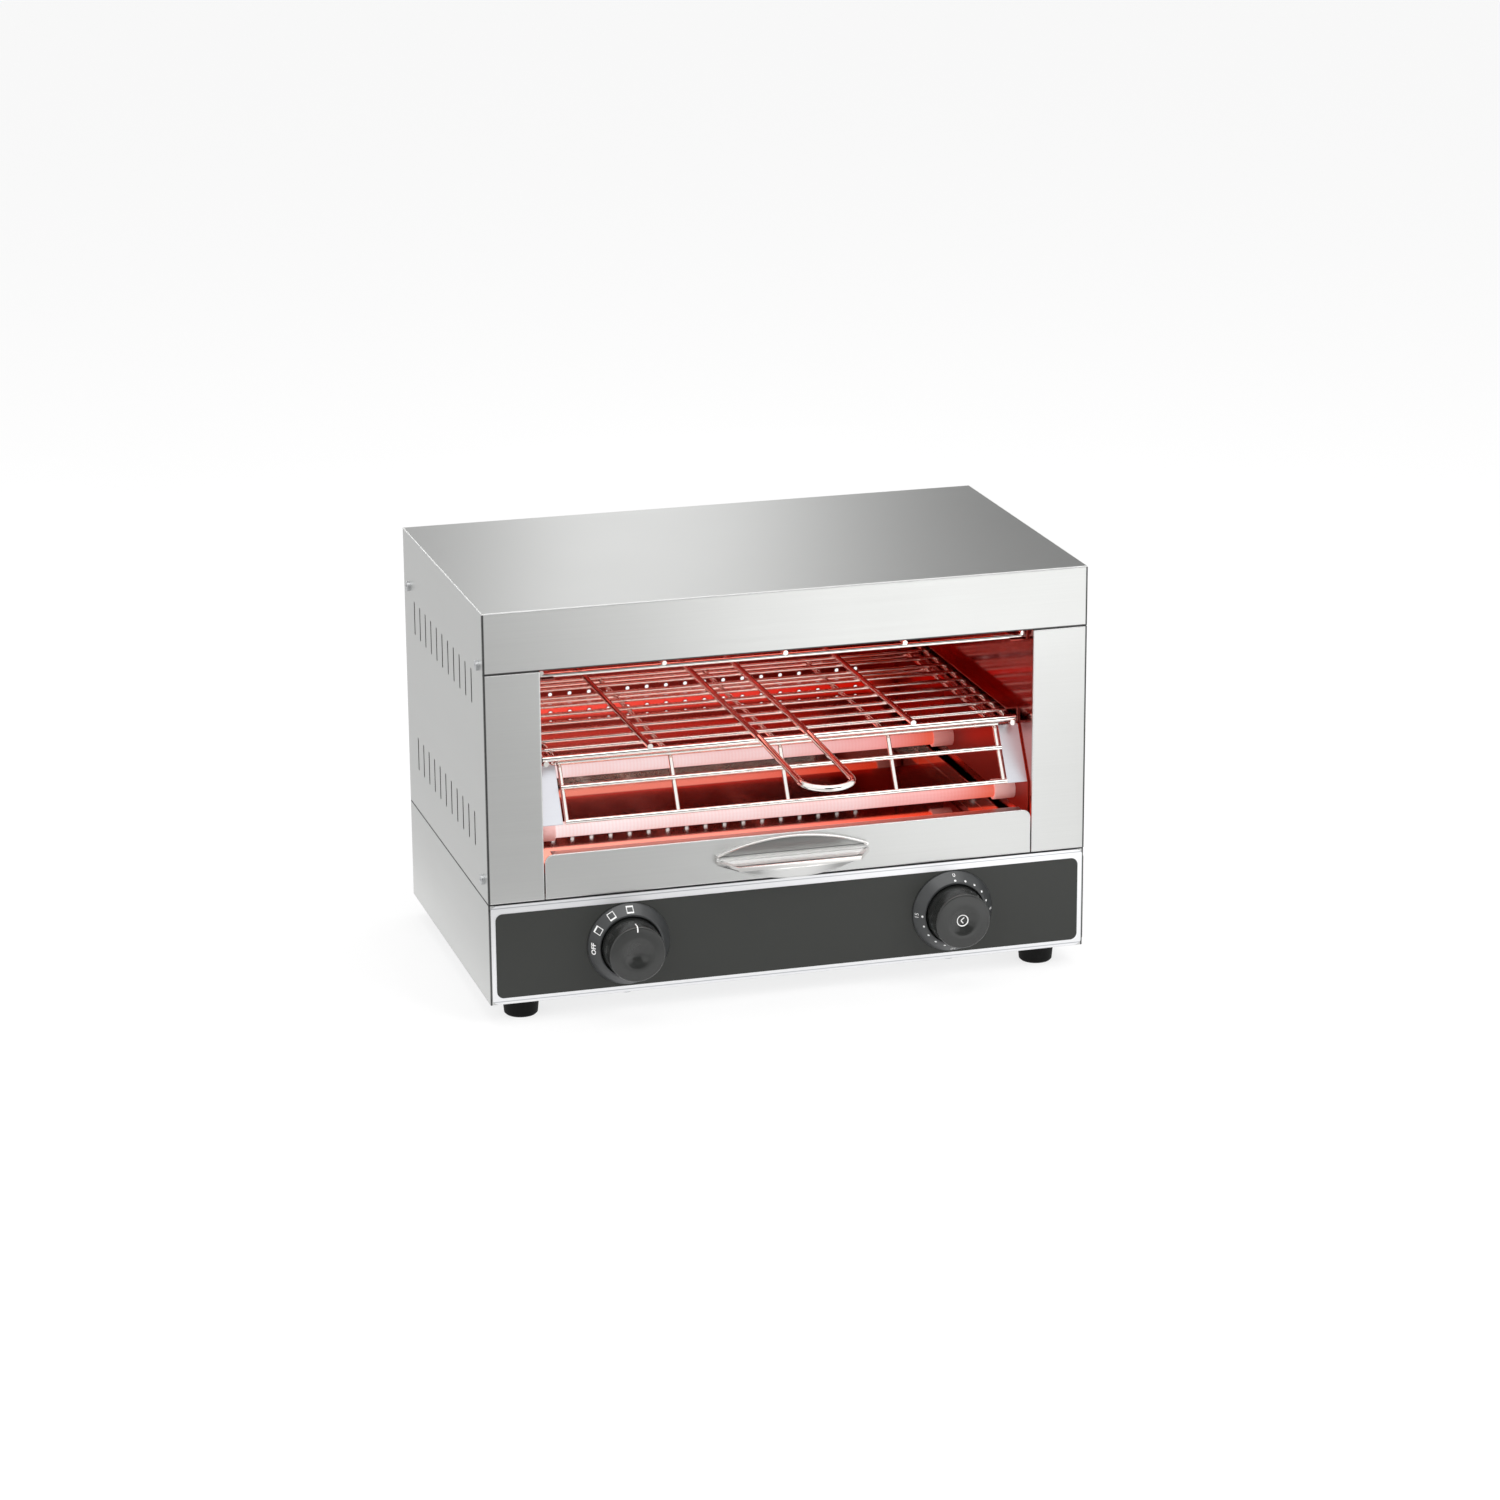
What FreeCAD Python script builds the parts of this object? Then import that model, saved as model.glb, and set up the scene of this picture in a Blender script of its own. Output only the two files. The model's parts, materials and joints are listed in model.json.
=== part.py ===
# Sandwich toaster: an open-fronted stainless steel cabinet over a control base.
# A wire rack slides between lower and upper quartz tubes, and a crumb tray slides below them.
# X runs across the front, Y runs from front to rear and Z runs up from the feet.
import FreeCAD, Part
from math import pi, sin, tan
import os
import re
import Sketcher

# Driving sizes in millimetres and degrees, and counts
sizes = {
    # Casing
    "body_width": 440.0,
    "body_depth": 260.0,
    "body_height": 284.0,
    "base_height": 74.0,
    "cover_sheet": 1.0,
    "wall_sheet": 1.0,
    "base_sheet": 1.0,
    "seam_gap": 0.6,
    "lap_gap": 0.15,
    "fold_radius": 0.8,
    "pillar_width": 40.0,
    "header_height": 43.5,
    "header_hem": 9.0,
    "return_depth": 28.0,
    "rear_return": 16.0,
    "rear_inset": 4.5,
    "base_rim": 70.0,
    "base_lip": 14.0,
    # Ventilation
    "slot_count": 11,
    "slot_pitch": 18.8,
    "slot_width": 2.5,
    "slot_length": 25.0,
    "slot_middle": 2.0,
    "slot_upper": 223.5,
    "slot_lower": 119.5,
    "vent_columns": 18,
    "vent_rows": 5,
    "vent_pitch": 15.0,
    "vent_rise": 7.25,
    "vent_diameter": 3.0,
    "vent_bottom": 119.0,
    "floor_slot_count": 9,
    "floor_slot_pitch": 20.0,
    "floor_slot_length": 60.0,
    "floor_slot_width": 4.0,
    # Feet
    "foot_height": 16.0,
    "foot_top_diameter": 27.0,
    "foot_bottom_diameter": 22.8,
    "foot_inset_side": 27.0,
    "foot_inset_front": 25.0,
    "foot_recess_diameter": 11.0,
    "foot_recess_depth": 6.0,
    "foot_edge": 1.2,
    # Screws
    "screw_diameter": 3.8,
    "screw_head_diameter": 7.4,
    "screw_head_height": 2.2,
    "screw_length": 7.0,
    "screw_slack": 0.25,
    "screw_recess": 1.0,
    "recess_length": 3.7,
    "recess_width": 0.8,
    "cover_screw_front": 15.0,
    "cover_screw_rear": 12.0,
    "cover_screw_low": 15.0,
    "cover_screw_high": 40.0,
    # Control panel
    "fascia_sheet": 1.0,
    "fascia_corner": 7.0,
    "fascia_gap": 0.4,
    "overlay_sheet": 0.3,
    "overlay_side": 4.5,
    "overlay_bottom": 5.0,
    "overlay_top": 7.0,
    "overlay_corner": 5.0,
    "dial_spacing": 240.0,
    "dial_drop": 0.5,
    "bezel_cone": 6.5,
    "bezel_rim": 1.5,
    "bezel_gap": 0.8,
    "bezel_height": 8.0,
    "bezel_edge": 1.2,
    "knob_diameter": 40.8,
    "knob_flare": 1.6,
    "knob_back_gap": 3.2,
    "knob_reach": 26.5,
    "knob_edge": 1.6,
    "knob_slack": 0.025,
    "dish_diameter": 21.0,
    "dish_floor_diameter": 10.5,
    "dish_depth": 1.8,
    "pointer_width": 1.4,
    "pointer_length": 7.0,
    "pointer_depth": 0.5,
    "shaft_diameter": 6.0,
    "shaft_flat": 1.5,
    "shaft_slack": 0.05,
    "shaft_grip": 12.0,
    "shaft_tail": 22.0,
    "shaft_end_gap": 3.0,
    "bush_diameter": 10.0,
    "bush_reach": 2.6,
    "nut_width": 14.0,
    "nut_height": 2.2,
    "nut_slack": 0.05,
    "switch_width": 44.0,
    "switch_clearance": 15.0,
    "switch_depth": 32.0,
    "timer_width": 54.0,
    "timer_clearance": 10.0,
    "timer_depth": 40.0,
    # Quartz tubes
    "tube_diameter": 11.0,
    "tube_wall": 1.0,
    "tube_front": 39.0,
    "tube_rear_inset": 82.0,
    "lower_tube_rise": 38.0,
    "upper_tube_drop": 16.0,
    "element_diameter": 3.0,
    "pin_diameter": 1.6,
    "pin_reach": 3.2,
    "cap_diameter": 14.7,
    "cap_length": 15.5,
    "cap_grip": 10.0,
    "stub_diameter": 8.0,
    "stub_length": 8.0,
    "stub_slack": 0.3,
    # Brackets and guards
    "bracket_sheet": 1.0,
    "bracket_strip": 15.0,
    "bracket_drop": 12.0,
    "strip_drop": 1.0,
    "bracket_tail": 16.0,
    "guard_wire": 3.2,
    "weld_depth": 0.4,
    "guard_wire_count": 5,
    "guard_side_gap": 19.0,
    "guard_front": 7.0,
    "guard_slope": 22.0,
    "guard_rise": 52.0,
    "guard_drop": 37.0,
    "guard_middle_rise": 21.5,
    "guard_bend": 6.0,
    "guard_perch": 9.6,
    "guard_rear_gap": 24.0,
    "upper_guard_drop": 20.5,
    "upper_guard_side_gap": 4.0,
    "upper_guard_front": 15.0,
    "ledge_width": 12.0,
    # Rack and rails
    "rack_rise": 6.0,
    "rack_side_gap": 5.5,
    "rack_front": 22.0,
    "rack_rear_gap": 25.0,
    "rack_rod": 4.4,
    "rack_wire": 3.0,
    "rack_wire_count": 9,
    "rack_side_rod": 4.0,
    "rack_side_inset": 2.5,
    "rack_long_spacing": 194.0,
    "rail_sheet": 1.0,
    "rail_ledge": 14.0,
    "rail_roof_width": 9.3,
    "rail_front": 30.5,
    "rail_rear_gap": 17.0,
    "rail_top_clearance": 2.0,
    "running_gap": 0.4,
    "loop_wire": 4.5,
    "loop_spacing": 36.5,
    "loop_reach": 104.0,
    "loop_slope": 1.8,
    "loop_rear_gap": 31.0,
    # Crumb tray
    "tray_sheet": 1.0,
    "tray_front_height": 32.2,
    "tray_front_corner": 6.0,
    "tray_side_gap": 1.0,
    "pan_side_gap": 3.5,
    "pan_rim": 11.5,
    "pan_rear_gap": 12.0,
    "tray_hem": 8.0,
    "deck_rise": 4.2,
    "deck_sheet": 1.0,
    "deck_front_gap": 2.5,
    "ceiling_drop": 15.0,
    "ceiling_flange": 10.0,
    "ceiling_front_drop": 26.0,
    # Tray handle
    "pull_width": 112.0,
    "pull_rise": 4.0,
    "pull_height": 28.0,
    "pull_tip_rise": 14.0,
    "pull_tip": 3.0,
    "pull_end": 11.0,
    "pull_lip_rise": 13.8,
    "pull_lip": 3.0,
    "pull_reach": 22.0,
    "pull_side": 5.5,
    "pull_heel": 14.0,
    "pull_wall": 3.2,
    "pull_floor": 3.0,
    "pull_screw_spacing": 60.0,
    "pull_screw_rise": 12.0,
    "pull_thread": 2.6,
    "pull_thread_slack": 0.01,
    # Supply entry and wiring
    "gland_side": 40.0,
    "gland_height": 22.0,
    "gland_diameter": 15.0,
    "gland_flange": 20.0,
    "gland_reach": 12.0,
    "gland_collar": 4.0,
    "gland_inner": 14.0,
    "gland_bore": 8.4,
    "gland_nut": 22.0,
    "gland_nut_height": 5.0,
    "block_length": 46.0,
    "block_width": 20.0,
    "block_height": 30.0,
    "block_ways": 4,
    "block_way": 4.0,
    "block_side": 110.0,
    "block_rear": 60.0,
    "lead_diameter": 3.6,
    "lead_bend": 14.0,
    "riser_height": 30.0,
    "riser_depth": 20.0,
}

# Places worked out from the sizes above
places = {
    "half_width": "body_width / 2",
    "front": "-body_depth / 2",
    "rear": "body_depth / 2",
    "origin_depth": "(front - loop_reach + rear + gland_reach) / 2",
    "cover_inside": "half_width - cover_sheet",
    "cover_under": "body_height - cover_sheet",
    "cover_bottom": "base_height + seam_gap",
    "header_bottom": "body_height - header_height",
    "side_front": "front + cover_sheet + seam_gap",
    "wall_inside": "half_width - pillar_width",
    "wall_outside": "cover_inside - lap_gap",
    "wall_top": "cover_under - lap_gap",
    "panel_rear": "rear - rear_inset",
    "panel_front": "panel_rear - wall_sheet",
    "wall_rear": "panel_front - lap_gap",
    "screw_front": "front + cover_screw_front",
    "screw_back": "wall_rear - cover_screw_rear",
    "screw_low": "base_height + cover_screw_low",
    "screw_high": "body_height - cover_screw_high",
    "screw_hole": "screw_diameter / 2 + screw_slack",
    "rear_screw_side": "wall_outside - pillar_width / 2",
    "housing_front": "front + fascia_sheet",
    "housing_inside": "half_width - base_sheet",
    "housing_inner_front": "housing_front + base_sheet",
    "housing_inner_rear": "rear - base_sheet",
    "lip_bottom": "base_sheet + lap_gap",
    "overlay_front": "front - overlay_sheet",
    "dial_height": "base_height / 2 - dial_drop",
    "knob_back_diameter": "knob_diameter + knob_flare",
    "bezel_bore": "knob_back_diameter + 2 * bezel_gap",
    "bezel_top_diameter": "bezel_bore + 2 * bezel_rim",
    "bezel_diameter": "bezel_top_diameter + 2 * bezel_cone",
    "tube_front_place": "front + tube_front",
    "tube_rear_place": "rear - tube_rear_inset",
    "lower_tube_height": "base_height + lower_tube_rise",
    "upper_tube_height": "ceiling_top - upper_tube_drop",
    "plate_outside": "wall_inside - lap_gap",
    "plate_inside": "plate_outside - bracket_sheet",
    "cap_inside": "plate_inside - cap_length",
    "tube_half": "cap_inside + cap_grip",
    "stub_end": "plate_inside + stub_length",
    "stub_hole": "stub_diameter / 2 + stub_slack",
    "guard_foot": "front + guard_front",
    "guard_knee": "guard_foot + guard_slope",
    "guard_radius": "guard_wire / 2",
    "guard_step": "guard_wire - weld_depth",
    "guard_back": "rear - guard_rear_gap",
    "guard_half_width": "wall_inside - guard_side_gap",
    "guard_spacing": "2 * guard_half_width / (guard_wire_count - 1)",
    "guard_height": "lower_tube_height + guard_rise",
    "guard_foot_height": "guard_height - guard_drop",
    "guard_middle_height": "guard_foot_height + guard_middle_rise",
    "guard_shelf": "guard_height - guard_step - guard_radius",
    "bracket_bottom": "lower_tube_height - bracket_drop",
    "bracket_strip_bottom": "guard_foot_height - strip_drop",
    "bracket_top": "rail_top - rail_sheet - 2 * lap_gap",
    "bracket_back": "tube_rear_place + bracket_tail",
    "upper_guard_height": "upper_tube_height - upper_guard_drop",
    "upper_guard_half_width": "wall_inside - upper_guard_side_gap",
    "upper_guard_spacing": "2 * upper_guard_half_width / (guard_wire_count - 1)",
    "upper_long_height": "upper_guard_height + guard_step",
    "rack_front_place": "front + rack_front",
    "rack_rear_place": "rear - rack_rear_gap",
    "rack_height": "guard_height + rack_rise",
    "rack_half_width": "wall_inside - rack_side_gap",
    "rack_wire_pitch": "(rack_rear_place - rack_front_place) / (rack_wire_count + 1)",
    "rack_side_place": "rack_half_width - rack_side_inset",
    "rack_side_height": "rack_height - rack_wire / 2 - rack_side_rod / 2 + weld_depth",
    "rack_long_height": "rack_height + rack_wire / 2 + rack_side_rod / 2 - weld_depth",
    "loop_height": "rack_height + rack_wire / 2 + loop_wire / 2 - weld_depth",
    "rail_top": "rack_side_height - rack_side_rod / 2 - running_gap",
    "rail_roof": "rack_height + rack_rod / 2 + rail_top_clearance",
    "loop_knee": "rack_front_place - rack_rod",
    "loop_length": "(loop_knee - front + loop_reach - loop_wire / 2) / cos(loop_slope)",
    "deck_top": "base_height + deck_rise",
    "deck_half": "wall_inside - lap_gap",
    "pan_bottom": "deck_top + running_gap",
    "pan_half": "wall_inside - pan_side_gap",
    "pan_front": "front + tray_sheet",
    "tray_half": "wall_inside - tray_side_gap",
    "tray_bottom": "base_height + seam_gap + lap_gap",
    "tray_top": "tray_bottom + tray_front_height",
    "pull_bottom": "base_height + pull_rise",
    "pull_top": "pull_bottom + pull_height",
    "pull_tip_height": "pull_bottom + pull_tip_rise",
    "pull_lip_height": "pull_bottom + pull_lip_rise",
    "pull_under": "pull_lip_height - pull_lip",
    "pull_screw_height": "pull_bottom + pull_screw_rise",
    "ceiling_top": "body_height - ceiling_drop",
    "gland_place": "half_width - gland_side",
    "panel_stack": "overlay_sheet + fascia_sheet + base_sheet",
    "block_place": "-half_width + block_side",
    "block_front": "rear - block_rear - block_width / 2",
    "way_pitch": "block_length / block_ways",
    "way_spread": "way_pitch * (block_ways - 1) / 2",
    "riser_side": "wall_inside + pillar_width / 2",
    "riser_place": "front + riser_depth",
    "riser_top": "upper_tube_height - cap_diameter",
}


def formula(text):
    # Swaps each named size or place in the text for its full expression
    def swap(match):
        word = match.group()
        if word in places:
            return "(" + formula(places[word]) + ")"
        if word in sizes:
            return "sizes." + word
        return word

    return re.sub(r"[a-z][a-z_]*", swap, text)


def number(text):
    return float(sheet.evalExpression(formula(text)))


document = FreeCAD.newDocument("sandwich_toaster")
sheet = document.addObject("Spreadsheet::Sheet", "sizes")
for row, (alias, value) in enumerate(sizes.items(), start=1):
    sheet.set(f"A{row}", alias)
    sheet.set(f"B{row}", str(value))
    sheet.setAlias(f"B{row}", alias)
document.recompute()

pieces = {}

# Origin plane, and the sign that turns its normal into the row axis
planes = {"plan": ("XY_Plane", ""), "front": ("XZ_Plane", "-"), "side": ("YZ_Plane", "")}
# Directions that a plane's own normal points in, and each direction's opposite
normals = ("up", "front", "right")
opposite = {
    "up": "down",
    "down": "up",
    "front": "rear",
    "rear": "front",
    "left": "right",
    "right": "left",
}


def piece(label, x="0", y="0", z="0"):
    # A named piece whose own origin lies at x, y, z of the body frame
    item = document.addObject("PartDesign::Body", label)
    item.Label = label
    item.AllowCompound = True
    item.setExpression("Placement.Base.x", formula(x))
    item.setExpression("Placement.Base.y", formula(f"{y} - (origin_depth)"))
    item.setExpression("Placement.Base.z", formula(f"{z} + foot_height"))
    pieces[label] = item
    return item


def origin_part(item, role):
    return next(part for part in item.Origin.OriginFeatures if part.Role == role)


def sketch(item, name, plane, at="0"):
    role, sign = planes[plane]
    drawing = item.newObject("Sketcher::SketchObject", f"{item.Name}_{name}")
    drawing.AttachmentSupport = [(origin_part(item, role), "")]
    drawing.MapMode = "FlatFace"
    drawing.setExpression("AttachmentOffset.Base.z", formula(f"{sign}({at})"))
    return drawing


def fix(drawing, kind, geometry, point, text):
    # Ties one point's distance from the sketch origin to an expression
    index = drawing.addConstraint(Sketcher.Constraint(kind, -1, 1, geometry, point, number(text)))
    drawing.setExpression(f"Constraints[{index}]", formula(text))


def fix_point(drawing, geometry, point, place):
    fix(drawing, "DistanceX", geometry, point, place[0])
    fix(drawing, "DistanceY", geometry, point, place[1])


def vector(place):
    return FreeCAD.Vector(number(place[0]), number(place[1]), 0)


def line(drawing, start, end):
    return drawing.addGeometry(Part.LineSegment(vector(start), vector(end)), False)


def polygon(drawing, corners):
    following = corners[1:] + corners[:1]
    edges = [line(drawing, start, end) for start, end in zip(corners, following)]
    for edge, after in zip(edges, edges[1:] + edges[:1]):
        drawing.addConstraint(Sketcher.Constraint("Coincident", edge, 2, after, 1))
    for edge, corner in zip(edges, corners):
        fix_point(drawing, edge, 1, corner)


def rectangle(drawing, low, high):
    polygon(drawing, [low, (high[0], low[1]), high, (low[0], high[1])])


def tie_radius(drawing, geometry, radius):
    index = drawing.addConstraint(Sketcher.Constraint("Radius", geometry, number(radius)))
    drawing.setExpression(f"Constraints[{index}]", formula(radius))


def circle(drawing, centre, radius):
    shape = Part.Circle(vector(centre), FreeCAD.Vector(0, 0, 1), number(radius))
    index = drawing.addGeometry(shape, False)
    fix_point(drawing, index, 3, centre)
    tie_radius(drawing, index, radius)


def circles(drawing, centres, radius):
    for centre in centres:
        circle(drawing, centre, radius)


def arc(drawing, start, middle, end):
    shape = Part.Arc(vector(start), vector(middle), vector(end))
    return drawing.addGeometry(shape, False)


def join(drawing, first, first_point, second, second_point):
    drawing.addConstraint(
        Sketcher.Constraint("Coincident", first, first_point, second, second_point)
    )


def slot(drawing, centre, half_length, radius):
    # An upright slot with round ends
    x, y = centre
    heights = (f"{y} + ({half_length} - ({radius}))", f"{y} - ({half_length} - ({radius}))")
    left, right = f"{x} - ({radius})", f"{x} + {radius}"
    caps = []
    for height, turn in zip(heights, (0, pi)):
        whole = Part.Circle(vector((x, height)), FreeCAD.Vector(0, 0, 1), number(radius))
        caps.append(drawing.addGeometry(Part.ArcOfCircle(whole, turn, turn + pi), False))
    sides = [
        line(drawing, (left, heights[0]), (left, heights[1])),
        line(drawing, (right, heights[1]), (right, heights[0])),
    ]
    order = [caps[0], sides[0], caps[1], sides[1]]
    for first, after in zip(order, order[1:] + order[:1]):
        drawing.addConstraint(Sketcher.Constraint("Tangent", first, 2, after, 1))
    for cap, height in zip(caps, heights):
        fix_point(drawing, cap, 3, (x, height))
        tie_radius(drawing, cap, radius)


def pad(item, name, drawing, length, toward):
    feature = item.newObject("PartDesign::Pad", f"{item.Name}_{name}")
    feature.Profile = drawing
    feature.setExpression("Length", formula(length))
    if toward == "both":
        feature.SideType = "Symmetric"
    else:
        feature.Reversed = toward not in normals
    document.recompute()
    return feature


def pocket(item, name, drawing, toward, depth=None):
    # Cuts to a depth, or through everything where no depth is given
    feature = item.newObject("PartDesign::Pocket", f"{item.Name}_{name}")
    feature.Profile = drawing
    if depth is None:
        feature.Type = "ThroughAll"
    else:
        feature.setExpression("Length", formula(depth))
    if toward == "both":
        feature.SideType = "Symmetric"
    else:
        feature.Reversed = toward in normals
    document.recompute()
    return feature


def revolve(item, name, drawing, axis):
    feature = item.newObject("PartDesign::Revolution", f"{item.Name}_{name}")
    feature.Profile = drawing
    feature.ReferenceAxis = (origin_part(item, axis), [""])
    feature.Angle = 360
    document.recompute()
    return feature


def pipe(item, name, profile, path, edge_count):
    feature = item.newObject("PartDesign::AdditivePipe", f"{item.Name}_{name}")
    feature.Profile = profile
    feature.Spine = (path, [f"Edge{index + 1}" for index in range(edge_count)])
    document.recompute()
    return feature


def pattern(item, name, feature, axis, pitch, count, second=None):
    # Repeats a feature along an axis, and along a second one where given
    repeat = item.newObject("PartDesign::LinearPattern", f"{item.Name}_{name}")
    repeat.Originals = [feature]
    repeat.Direction = (origin_part(item, axis), [""])
    repeat.setExpression("Length", formula(f"{pitch} * ({count} - 1)"))
    repeat.setExpression("Occurrences", formula(count))
    if second:
        second_axis, second_pitch, second_count = second
        repeat.Direction2 = (origin_part(item, second_axis), [""])
        repeat.setExpression("Length2", formula(f"{second_pitch} * ({second_count} - 1)"))
        repeat.setExpression("Occurrences2", formula(second_count))
    item.Tip = repeat
    document.recompute()
    return repeat


def edges(feature, **fixed):
    # Names of the edges whose ends all lie at one of the given places
    found = []
    for index, edge in enumerate(feature.Shape.Edges):
        ends = [vertex.Point for vertex in edge.Vertexes]
        if len(ends) > 1 and all(
            any(abs(getattr(end, axis) - place) < 0.001 for place in allowed)
            for end in ends
            for axis, allowed in fixed.items()
        ):
            found.append(f"Edge{index + 1}")
    return found


def corner_edges(feature, side, heights):
    # The edges through a plate at its left and right corners, at each of the given heights
    half = number(side)
    found = []
    for place in (-half, half):
        for height in heights:
            found += edges(feature, x=(place,), z=(number(height),))
    return found


def round_edges(item, name, feature, names, radius):
    feature_name = f"{item.Name}_{name}"
    rounding = item.newObject("PartDesign::Fillet", feature_name)
    rounding.Base = (feature, names)
    rounding.setExpression("Radius", formula(radius))
    document.recompute()
    return rounding


# Casing

def outer_cover():
    # One folded sheet: top, two louvred sides and the header over the opening
    item = piece("outer_cover")
    top = sketch(item, "top", "front", "front")
    rectangle(top, ("-half_width", "cover_under"), ("half_width", "body_height"))
    pad(item, "top_pad", top, "body_depth", "rear")
    for name, sign in (("left", "-"), ("right", "")):
        side = sketch(item, name, "front", "side_front")
        low = (f"{sign}(half_width)", "cover_bottom")
        rectangle(side, low, (f"{sign}(cover_inside)", "body_height"))
        pad(item, f"{name}_pad", side, "rear - (side_front)", "rear")
    header = sketch(item, "header", "front", "front")
    rectangle(header, ("-half_width", "header_bottom"), ("half_width", "body_height"))
    pad(item, "header_pad", header, "cover_sheet", "rear")
    hem = sketch(item, "hem", "front", "front")
    high = ("wall_inside - seam_gap", "header_bottom + cover_sheet")
    rectangle(hem, ("-(wall_inside) + seam_gap", "header_bottom"), high)
    feature = pad(item, "hem_pad", hem, "header_hem", "rear")
    half, top_place = number("half_width"), number("body_height")
    folds = set(edges(feature, x=(-half, half), z=(top_place,)))
    folds.update(edges(feature, y=(number("front"),), z=(top_place,)))
    round_edges(item, "folds", feature, sorted(folds), "min(fold_radius; 0.8 * cover_sheet)")
    louvre = sketch(item, "louvre", "side")
    first = "slot_middle - slot_pitch * (slot_count - 1) / 2"
    for height in ("slot_upper", "slot_lower"):
        slot(louvre, (first, height), "slot_length / 2", "slot_width / 2")
    cut = pocket(item, "louvre_cut", louvre, "both")
    pattern(item, "louvres", cut, "Y_Axis", "slot_pitch", "slot_count")
    holes = sketch(item, "screw_holes", "side")
    circles(holes, cover_screw_places(), "screw_hole")
    pocket(item, "screw_cut", holes, "both")


def cover_screw_places():
    return [
        ("screw_front", "screw_high"),
        ("screw_back", "screw_high"),
        ("screw_front", "screw_low"),
    ]


def tube_places():
    return [
        (depth, height)
        for depth in ("tube_front_place", "tube_rear_place")
        for height in ("lower_tube_height", "upper_tube_height")
    ]


def rear_screw_heights():
    return [
        "base_height + cover_screw_low",
        "(base_height + body_height) / 2",
        "body_height - cover_screw_low",
    ]


def outward_of(sign):
    return "left" if sign else "right"


def cavity_wall(label, sign):
    # Folded side wall: the pillar in front, the cavity's side and the rear flange
    item = piece(label)
    outline = [
        ("wall_outside", "front + return_depth"),
        ("wall_outside", "front + wall_sheet"),
        ("half_width", "front + wall_sheet"),
        ("half_width", "front"),
        ("wall_inside", "front"),
        ("wall_inside", "wall_rear"),
        ("wall_outside", "wall_rear"),
        ("wall_outside", "wall_rear - rear_return"),
        ("wall_outside - wall_sheet", "wall_rear - rear_return"),
        ("wall_outside - wall_sheet", "wall_rear - wall_sheet"),
        ("wall_inside + wall_sheet", "wall_rear - wall_sheet"),
        ("wall_inside + wall_sheet", "front + wall_sheet"),
        ("wall_outside - wall_sheet", "front + wall_sheet"),
        ("wall_outside - wall_sheet", "front + return_depth"),
    ]
    plan = sketch(item, "plan", "plan", "base_height")
    polygon(plan, [(f"{sign}({x})", y) for x, y in outline])
    pad(item, "folded_sheet", plan, "wall_top - base_height", "up")
    relief = sketch(item, "relief", "front", "front")
    for low, high in (
        ("base_height", "cover_bottom"),
        ("header_bottom - seam_gap", "wall_top"),
    ):
        corner = (f"{sign}(wall_inside)", low)
        rectangle(relief, corner, (f"{sign}(half_width)", high))
    pocket(item, "relief_cut", relief, "rear", "wall_sheet + seam_gap")
    outward = outward_of(sign)
    holes = sketch(item, "screws", "side", f"{sign}(wall_inside + pillar_width / 2)")
    circles(holes, cover_screw_places(), "screw_hole")
    pocket(item, "screw_cut", holes, outward)
    stubs = sketch(item, "stubs", "side")
    circles(stubs, tube_places(), "stub_hole")
    pocket(item, "stub_cut", stubs, outward, "wall_inside + 2 * wall_sheet")
    rear = sketch(item, "rear_screws", "front", "wall_rear")
    for height in rear_screw_heights():
        circle(rear, (f"{sign}(rear_screw_side)", height), "screw_hole")
    pocket(item, "rear_cut", rear, "front", "2 * wall_sheet")


def rear_panel():
    item = piece("rear_panel")
    face = sketch(item, "face", "front", "panel_front")
    rectangle(face, ("-(wall_outside)", "base_height"), ("wall_outside", "wall_top"))
    pad(item, "sheet", face, "wall_sheet", "rear")
    hole = sketch(item, "vent", "front", "panel_front")
    first = "-vent_pitch * (vent_columns - 1) / 2"
    circle(hole, (first, "vent_bottom"), "vent_diameter / 2")
    cut = pocket(item, "vent_cut", hole, "rear")
    upward = ("Z_Axis", "vent_rise", "vent_rows")
    pattern(item, "vents", cut, "X_Axis", "vent_pitch", "vent_columns", upward)
    holes = sketch(item, "screws", "front", "panel_front")
    for sign in ("-", ""):
        for height in rear_screw_heights():
            circle(holes, (f"{sign}(rear_screw_side)", height), "screw_hole")
    pocket(item, "screw_cut", holes, "rear")


def cavity_ceiling():
    # Polished reflector sheet over the upper tubes, with turned-down edges
    item = piece("cavity_ceiling")
    front = "front + deck_front_gap"
    rear = "wall_rear - lap_gap"
    block = sketch(item, "block", "plan", "ceiling_top")
    rectangle(block, ("-(deck_half)", front), ("deck_half", rear))
    pad(item, "block_pad", block, "ceiling_flange", "down")
    hollow = sketch(item, "hollow", "plan", "ceiling_top - wall_sheet")
    low = ("-(deck_half) + wall_sheet", f"{front} + wall_sheet")
    rectangle(hollow, low, ("deck_half - wall_sheet", rear))
    pocket(item, "hollow_cut", hollow, "down")
    drop = sketch(item, "drop", "plan", "ceiling_top")
    rectangle(drop, ("-(deck_half)", front), ("deck_half", f"{front} + wall_sheet"))
    pad(item, "front_flange", drop, "ceiling_front_drop", "down")


def cavity_deck():
    # Deck between base and cavity, standing on its turned-down edges
    item = piece("cavity_deck")
    front = "front + deck_front_gap"
    rear = "wall_rear - lap_gap"
    block = sketch(item, "block", "plan", "base_height")
    rectangle(block, ("-(deck_half)", front), ("deck_half", rear))
    pad(item, "block_pad", block, "deck_rise", "up")
    hollow = sketch(item, "hollow", "plan", "deck_top - deck_sheet")
    low = ("-(deck_half) + deck_sheet", f"{front} + deck_sheet")
    rectangle(hollow, low, ("deck_half - deck_sheet", f"{rear} - deck_sheet"))
    pocket(item, "hollow_cut", hollow, "down")


# Control base

def dial_places():
    return [(f"{sign}dial_spacing / 2", "dial_height") for sign in ("-", "")]


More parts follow.
